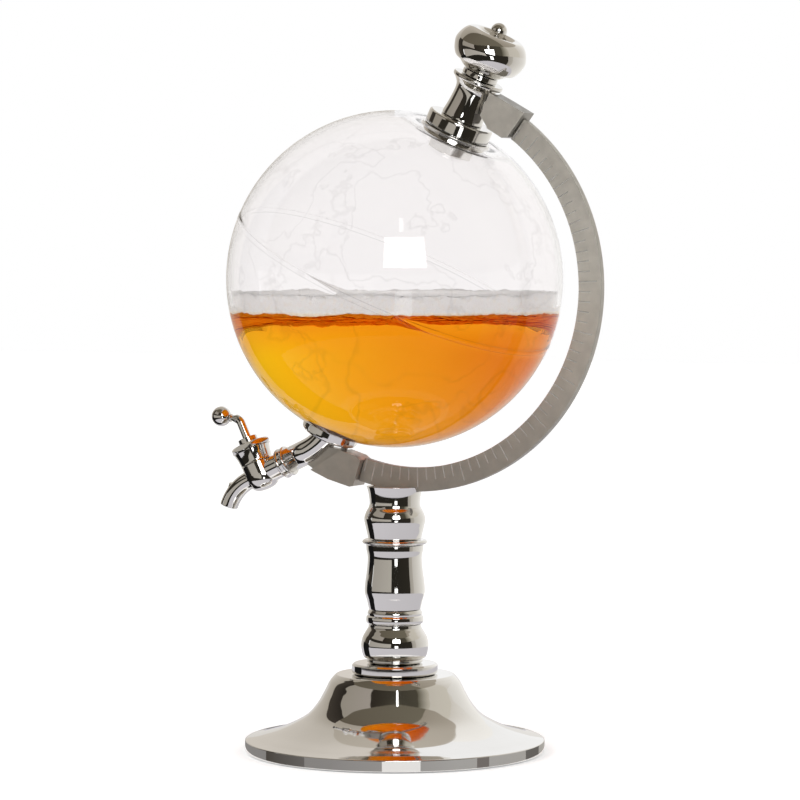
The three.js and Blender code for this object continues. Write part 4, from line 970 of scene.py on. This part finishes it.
turned_piece("tap_bonnet", "bonnet_cup", BONNET_SHARES, place=TAP, bore=BONNET_BORE)
cap_low, cap_high, cap_corner = turned_size("bonnet_cap", TAP)
cap_blank = hexagon("bonnet_cap", "bonnet_hexagon", TAP, edge=0.2 * MM)
face_radius = CAP_FACE_SHARE * cap_corner
cap_middle = (cap_low + cap_high) / 2
flare = spun(angular(
    (0, cap_low), (face_radius, cap_low), (cap_corner, cap_middle), (face_radius, cap_high), (0, cap_high),
))
bmesh.ops.recalc_face_normals(flare, faces=flare.faces)
bmesh.ops.transform(flare, matrix=TAP, verts=flare.verts)
cut_away(cap_blank, made_object(flare, "flare_cutter"), operation="INTERSECT")

brass = finish("lapped_brass", (0.7, 0.5, 0.22), 0.25, (60, (0.62, 0.43, 0.18), (0.76, 0.56, 0.27)),
               relief=(1800, 0.006 * MM), metallic=1, varied=(300, 0.18, 0.34))
dress("cock_plug", brass)
dress("thrust_washer", brass)
dress("gland_packing", rubber)

# Lever: a round steel rod with a hub, bent over at its top and tapered to a collar, with a solid ball pressed on
# the end. All of it is plated, and the hub sits on the cock and turns it.
HUB_RADIUS = 6 * MM
HUB_TOP = 23.8 * MM  # above the pipe's axis
LEVER_RADIUS = 2.6 * MM
LEVER_RISE = 36.3 * MM
LEVER_BEND_RADIUS = 4.2 * MM
LEVER_TIP_SHARE = 0.56
BALL_COLLAR_RADIUS = 2.5 * MM
BALL_COLLAR_THICKNESS = 0.9 * MM
BALL_STEPS = 48

hub_low = measured("tap_lever", TAP)[0].z
ball_low, ball_high = measured("lever_ball", TAP)
ball_radius = (ball_high.z - ball_low.z) / 2
ball_centre = (ball_low + ball_high) / 2
crank = ball_centre - Vector((0, 0, LEVER_RISE))
crank_angle = Vector((0, 0, 1)).angle(crank)
crank_reach = LEVER_BEND_RADIUS * math.tan(crank_angle / 2)
collar_foot = crank.length - ball_radius - SEAT - BALL_COLLAR_THICKNESS

lever = spun(angular((0, hub_low), (HUB_RADIUS, hub_low), (HUB_RADIUS, HUB_TOP), (0, HUB_TOP)))
rod = PipeRun(lever, LEVER_RADIUS, Vector((0, 0, (hub_low + HUB_TOP) / 2)), Vector((0, 0, 1)))
rod.straight(LEVER_RISE - crank_reach - rod.at.z)
rod.bend(LEVER_BEND_RADIUS, crank_angle)
rod.straight(collar_foot - crank_reach, taper=LEVER_TIP_SHARE)
rod.straight(ball_radius)
rod.close()
tip = Matrix.Translation((0, 0, LEVER_RISE)) @ Matrix.Rotation(crank_angle, 4, "Y")
bmesh.ops.create_cone(
    lever, cap_ends=True, segments=PIPE_SIDES, radius1=BALL_COLLAR_RADIUS, radius2=BALL_COLLAR_RADIUS,
    depth=BALL_COLLAR_THICKNESS, matrix=tip @ Matrix.Translation((0, 0, collar_foot + BALL_COLLAR_THICKNESS / 2)),
)
plated(lever, "cranked_lever", "tap_lever", "lever", edge=0.2 * MM, place=TAP)

sphere_side = circle_stretch(ball_radius, -POLE_SHARE * ball_radius, POLE_SHARE * ball_radius, BALL_STEPS)
plated(
    spun([Vector((0, -ball_radius)), *(Vector(p) for p in sphere_side), Vector((0, ball_radius))], BALL_SIDES),
    "lever_end_ball", "lever_ball", "lever", edge=0, place=TAP @ Matrix.Translation(ball_centre),
)

# Studio: a pale floor with a white surround. What the polished metal mirrors stands round the object out of the
# camera's sight: dark flags, grey boards and bright softboxes, seen by reflections only. A low fence round the
# foot is what its upright rim mirrors.
CAMERA_AT = (0.9289, -1.823, 0.3066)
CAMERA_DOWN = 2.707  # degrees
CAMERA_ROUND = 27
CAMERA_ASIDE = 0.0863
LENS = 154.98
SENSOR = 36
FLOOR_GLOW = 0.3
ROOM_LIGHT = 0.75
BOARD_STEP = math.radians(3)
END_SLACK = 0.01  # keeps rounding from painting a board's first end as its last
COVE_START = 0.12  # distances from the column and heights, in metres
FLAG_START = 0.42
FLAG_OUT = 0.95
FLAG_LEVEL = 0.0015
BACK_TOP = 0.12
SILL_TOP = 0.34
BEAM_TOP = 0.52
BOARD_MIDDLE = 0.45
BOARD_TOP = 1.05
CEILING_LEVEL = 1.3
CEILING_TOP = 1.35
CEILING_HOLE = 0.01
COVE = [(COVE_START, FLAG_LEVEL), (FLAG_START, FLAG_LEVEL)]
FLOOR_FLAG = [(FLAG_START, FLAG_LEVEL), (FLAG_OUT, FLAG_LEVEL)]
LOW = [*FLOOR_FLAG, (FLAG_OUT, BOARD_MIDDLE)]
SILL = [(FLAG_OUT, FLAG_LEVEL), (FLAG_OUT, SILL_TOP)]
BEAM = [(FLAG_OUT, SILL_TOP), (FLAG_OUT, BEAM_TOP)]
BACK = [(FLAG_OUT, BACK_TOP), (FLAG_OUT, BOARD_TOP)]
HIGH = [(FLAG_OUT, BOARD_MIDDLE), (FLAG_OUT, BOARD_TOP)]
CEILING = [(FLAG_OUT, BOARD_TOP), (FLAG_OUT / 2, CEILING_LEVEL), (CEILING_HOLE, CEILING_TOP)]
FENCE = [(0.0945, 0.0001), (0.0945, 0.0078)]
NEAR_FENCE = [(0.0944, 0.0001), (0.0944, 0.0078)]
BOARDS = [  # name, colours at its two ends, their bearings from the camera's, and an outline of distance and height
    ("cove_reflector", (0.7, 0.68, 0.72), (0.62, 0.6, 0.63), (-98, 150), COVE),
    ("back_cove", (0.62, 0.6, 0.63), (0.7, 0.68, 0.72), (150, 225), COVE),
    ("left_fence", (0.24, 0.23, 0.22), (0.3, 0.29, 0.285), (-175, -25), FENCE),
    ("middle_fence", (0.3, 0.29, 0.285), (0.44, 0.43, 0.42), (-25, 25), FENCE),
    ("right_fence", (0.44, 0.43, 0.42), (0.48, 0.45, 0.4), (25, 150), FENCE),
    ("fence_strip", (0.95, 0.94, 0.93), (0.95, 0.94, 0.93), (-5, 10), NEAR_FENCE),
    ("fence_stripe", (0.2, 0.18, 0.17), (0.2, 0.18, 0.17), (34, 40), NEAR_FENCE),
    ("fence_end", (0.16, 0.15, 0.14), (0.16, 0.15, 0.14), (64, 80), NEAR_FENCE),
    ("fence_start", (0.08, 0.07, 0.06), (0.16, 0.15, 0.145), (-62, -38), NEAR_FENCE),
    ("low_back_flag", (0.01, 0.01, 0.01), (0.01, 0.01, 0.01), (-135, -98),
     [(0.1, FLAG_LEVEL), (FLAG_OUT, FLAG_LEVEL), (FLAG_OUT, BACK_TOP)]),
    ("back_left_board", (0.75, 0.7, 0.64), (0.45, 0.41, 0.35), (-180, -127), BACK),
    ("left_edge_flag", (0.06, 0.05, 0.04), (0.03, 0.025, 0.02), (-127, -101), BACK),
    ("left_board_low", (0.42, 0.39, 0.35), (0.5, 0.47, 0.42), (-98, -13), SILL),
    ("left_floor_flag", (0.02, 0.018, 0.014), (0.02, 0.018, 0.014), (-98, -13), FLOOR_FLAG),
    ("left_beam", (0.03, 0.026, 0.02), (0.03, 0.026, 0.02), (-101, -13), BEAM),
    ("left_board_high", (0.34, 0.31, 0.26), (0.38, 0.34, 0.3), (-101, -46),
     [(FLAG_OUT, BEAM_TOP), (FLAG_OUT, BOARD_TOP)]),
    ("front_flag_low", (0.02, 0.018, 0.014), (0.03, 0.026, 0.02), (-13, 62), LOW),
    ("front_flag_high", (0.03, 0.024, 0.018), (0.075, 0.067, 0.048), (-46, 44), HIGH),
    ("front_right_board", (0.1, 0.09, 0.06), (0.54, 0.5, 0.42), (44, 66), HIGH),
    ("right_board_low", (0.4, 0.37, 0.33), (0.5, 0.47, 0.42), (62, 78), LOW),
    ("right_board_high", (0.6, 0.56, 0.49), (0.66, 0.62, 0.54), (66, 106), HIGH),
    ("far_right_low", (0.62, 0.59, 0.54), (1.02, 1, 0.96), (78, 160), LOW),
    ("back_board", (0.9, 0.88, 0.85), (0.6, 0.57, 0.53), (160, 225), [*FLOOR_FLAG, (FLAG_OUT, BACK_TOP)]),
    ("far_right_high", (0.7, 0.66, 0.6), (1.02, 1, 0.96), (106, 160), HIGH),
    ("front_ceiling", (0.13, 0.11, 0.08), (0.17, 0.15, 0.11), (-112, 60), CEILING),
    ("right_ceiling", (0.34, 0.3, 0.24), (0.55, 0.5, 0.43), (60, 180), CEILING),
    ("back_ceiling", (0.55, 0.5, 0.43), (0.4, 0.36, 0.3), (-180, -112), CEILING),
    ("window_softbox", (6, 6, 6), (6, 6, 6), (-7.2, 20.3), [(0.9, 0.402), (0.9, 0.75)]),
    ("upper_strip", (4, 4, 4), (4, 4, 4), (3.2, 6.4), [(0.9, 0.819), (0.9, 1.04)]),
    ("low_strip", (2.4, 2.4, 2.4), (2.4, 2.4, 2.4), (0, 11), [(0.55, 0.003), (0.9, 0.003), (0.9, 0.17)]),
]


def board_light():
    """Glows with the colour that a board holds in its vertices."""
    material = bpy.data.materials.new("board_light")
    material.use_nodes = True
    tree = material.node_tree
    tree.nodes.clear()
    painted = tree.nodes.new("ShaderNodeAttribute")
    painted.attribute_name = "board_colour"
    glow = tree.nodes.new("ShaderNodeEmission")
    output = tree.nodes.new("ShaderNodeOutputMaterial")
    tree.links.new(painted.outputs["Color"], glow.inputs["Color"])
    tree.links.new(glow.outputs["Emission"], output.inputs["Surface"])
    return material


glowing = board_light()


def board(name, first, last, bearings, profile):
    """A board swept round the object, which only reflections see. Its colour goes from its first end to its last."""
    bm = bmesh.new()
    start, end = (math.radians(b + CAMERA_ROUND) for b in bearings)
    verts = [bm.verts.new((out * math.sin(start), -out * math.cos(start), height)) for out, height in profile]
    edges = [bm.edges.new(pair) for pair in zip(verts, verts[1:])]
    steps = max(2, round((end - start) / BOARD_STEP))
    bmesh.ops.spin(bm, geom=verts + edges, cent=(0, 0, 0), axis=(0, 0, 1), angle=end - start, steps=steps)
    made = made_object(bm, name)
    made.data.materials.append(glowing)
    paint = made.data.color_attributes.new("board_colour", "FLOAT_COLOR", "POINT")
    for vertex, dab in zip(made.data.vertices, paint.data):
        share = ((math.atan2(vertex.co.x, -vertex.co.y) - start + END_SLACK) % FULL_TURN) / (end - start)
        dab.color = (*Vector(first).lerp(Vector(last), min(share, 1)), 1)
    for rays in ("camera", "diffuse", "transmission", "volume_scatter", "shadow"):
        setattr(made, "visible_" + rays, False)


for board_row in BOARDS:
    board(*board_row)


def seen_rays(tree):
    """One for a ray that shows the surround in the picture, straight, mirrored or through glass, and else nought."""
    rays = tree.nodes.new("ShaderNodeLightPath")
    seen = rays.outputs["Is Camera Ray"]
    for kind in ("Is Glossy Ray", "Is Transmission Ray"):
        either = tree.nodes.new("ShaderNodeMath")
        either.operation = "MAXIMUM"
        tree.links.new(seen, either.inputs[0])
        tree.links.new(rays.outputs[kind], either.inputs[1])
        seen = either.outputs["Value"]
    return seen


floor_bm = bmesh.new()
bmesh.ops.create_grid(floor_bm, x_segments=1, y_segments=1, size=6)
floor = made_object(floor_bm, "floor")
floor_material, floor_tree, floor_shader = surface("pale_floor", (0.93, 0.93, 0.93), 0.6)
floor_shader.inputs["Specular IOR Level"].default_value = 0.1
floor_rays = seen_rays(floor_tree)
floor_glow = ramp(floor_tree, floor_rays, 0, 1, 0, FLOOR_GLOW)
floor_shader.inputs["Emission Color"].default_value = (1, 1, 1, 1)
floor_tree.links.new(floor_glow, floor_shader.inputs["Emission Strength"])
floor.data.materials.append(floor_material)

world = bpy.data.worlds.new("white_surround")
bpy.context.scene.world = world
world.use_nodes = True
world_tree = world.node_tree
world_tree.nodes.clear()
strength = ramp(world_tree, seen_rays(world_tree), 0, 1, ROOM_LIGHT, 1)
sky = world_tree.nodes.new("ShaderNodeBackground")
sky.inputs["Color"].default_value = (1, 1, 1, 1)
world_tree.links.new(strength, sky.inputs["Strength"])
world_output = world_tree.nodes.new("ShaderNodeOutputWorld")
world_tree.links.new(sky.outputs["Background"], world_output.inputs["Surface"])


def soft_light(name, place, size, power):
    data = bpy.data.lights.new(name, "AREA")
    data.size = size
    data.energy = power
    lamp = bpy.data.objects.new(name, data)
    bpy.context.scene.collection.objects.link(lamp)
    lamp.location = place
    lamp.rotation_euler = (globe_centre - Vector(place)).to_track_quat("-Z", "Y").to_euler()
    lamp.visible_glossy = lamp.visible_transmission = False


soft_light("key_light", (-0.9, -1.5, 1.7), size=1.4, power=14)
soft_light("fill_light", (1.9, -0.4, 1.1), size=1.6, power=6)

camera_data = bpy.data.cameras.new("photo_camera")
camera_data.lens = LENS
camera_data.sensor_width = SENSOR
camera = bpy.data.objects.new("photo_camera", camera_data)
bpy.context.scene.collection.objects.link(camera)
camera.location = CAMERA_AT
camera.rotation_euler = (math.radians(90 - CAMERA_DOWN), 0, math.radians(CAMERA_ROUND - CAMERA_ASIDE))
bpy.context.scene.camera = camera
bpy.context.scene.view_settings.view_transform = "Standard"
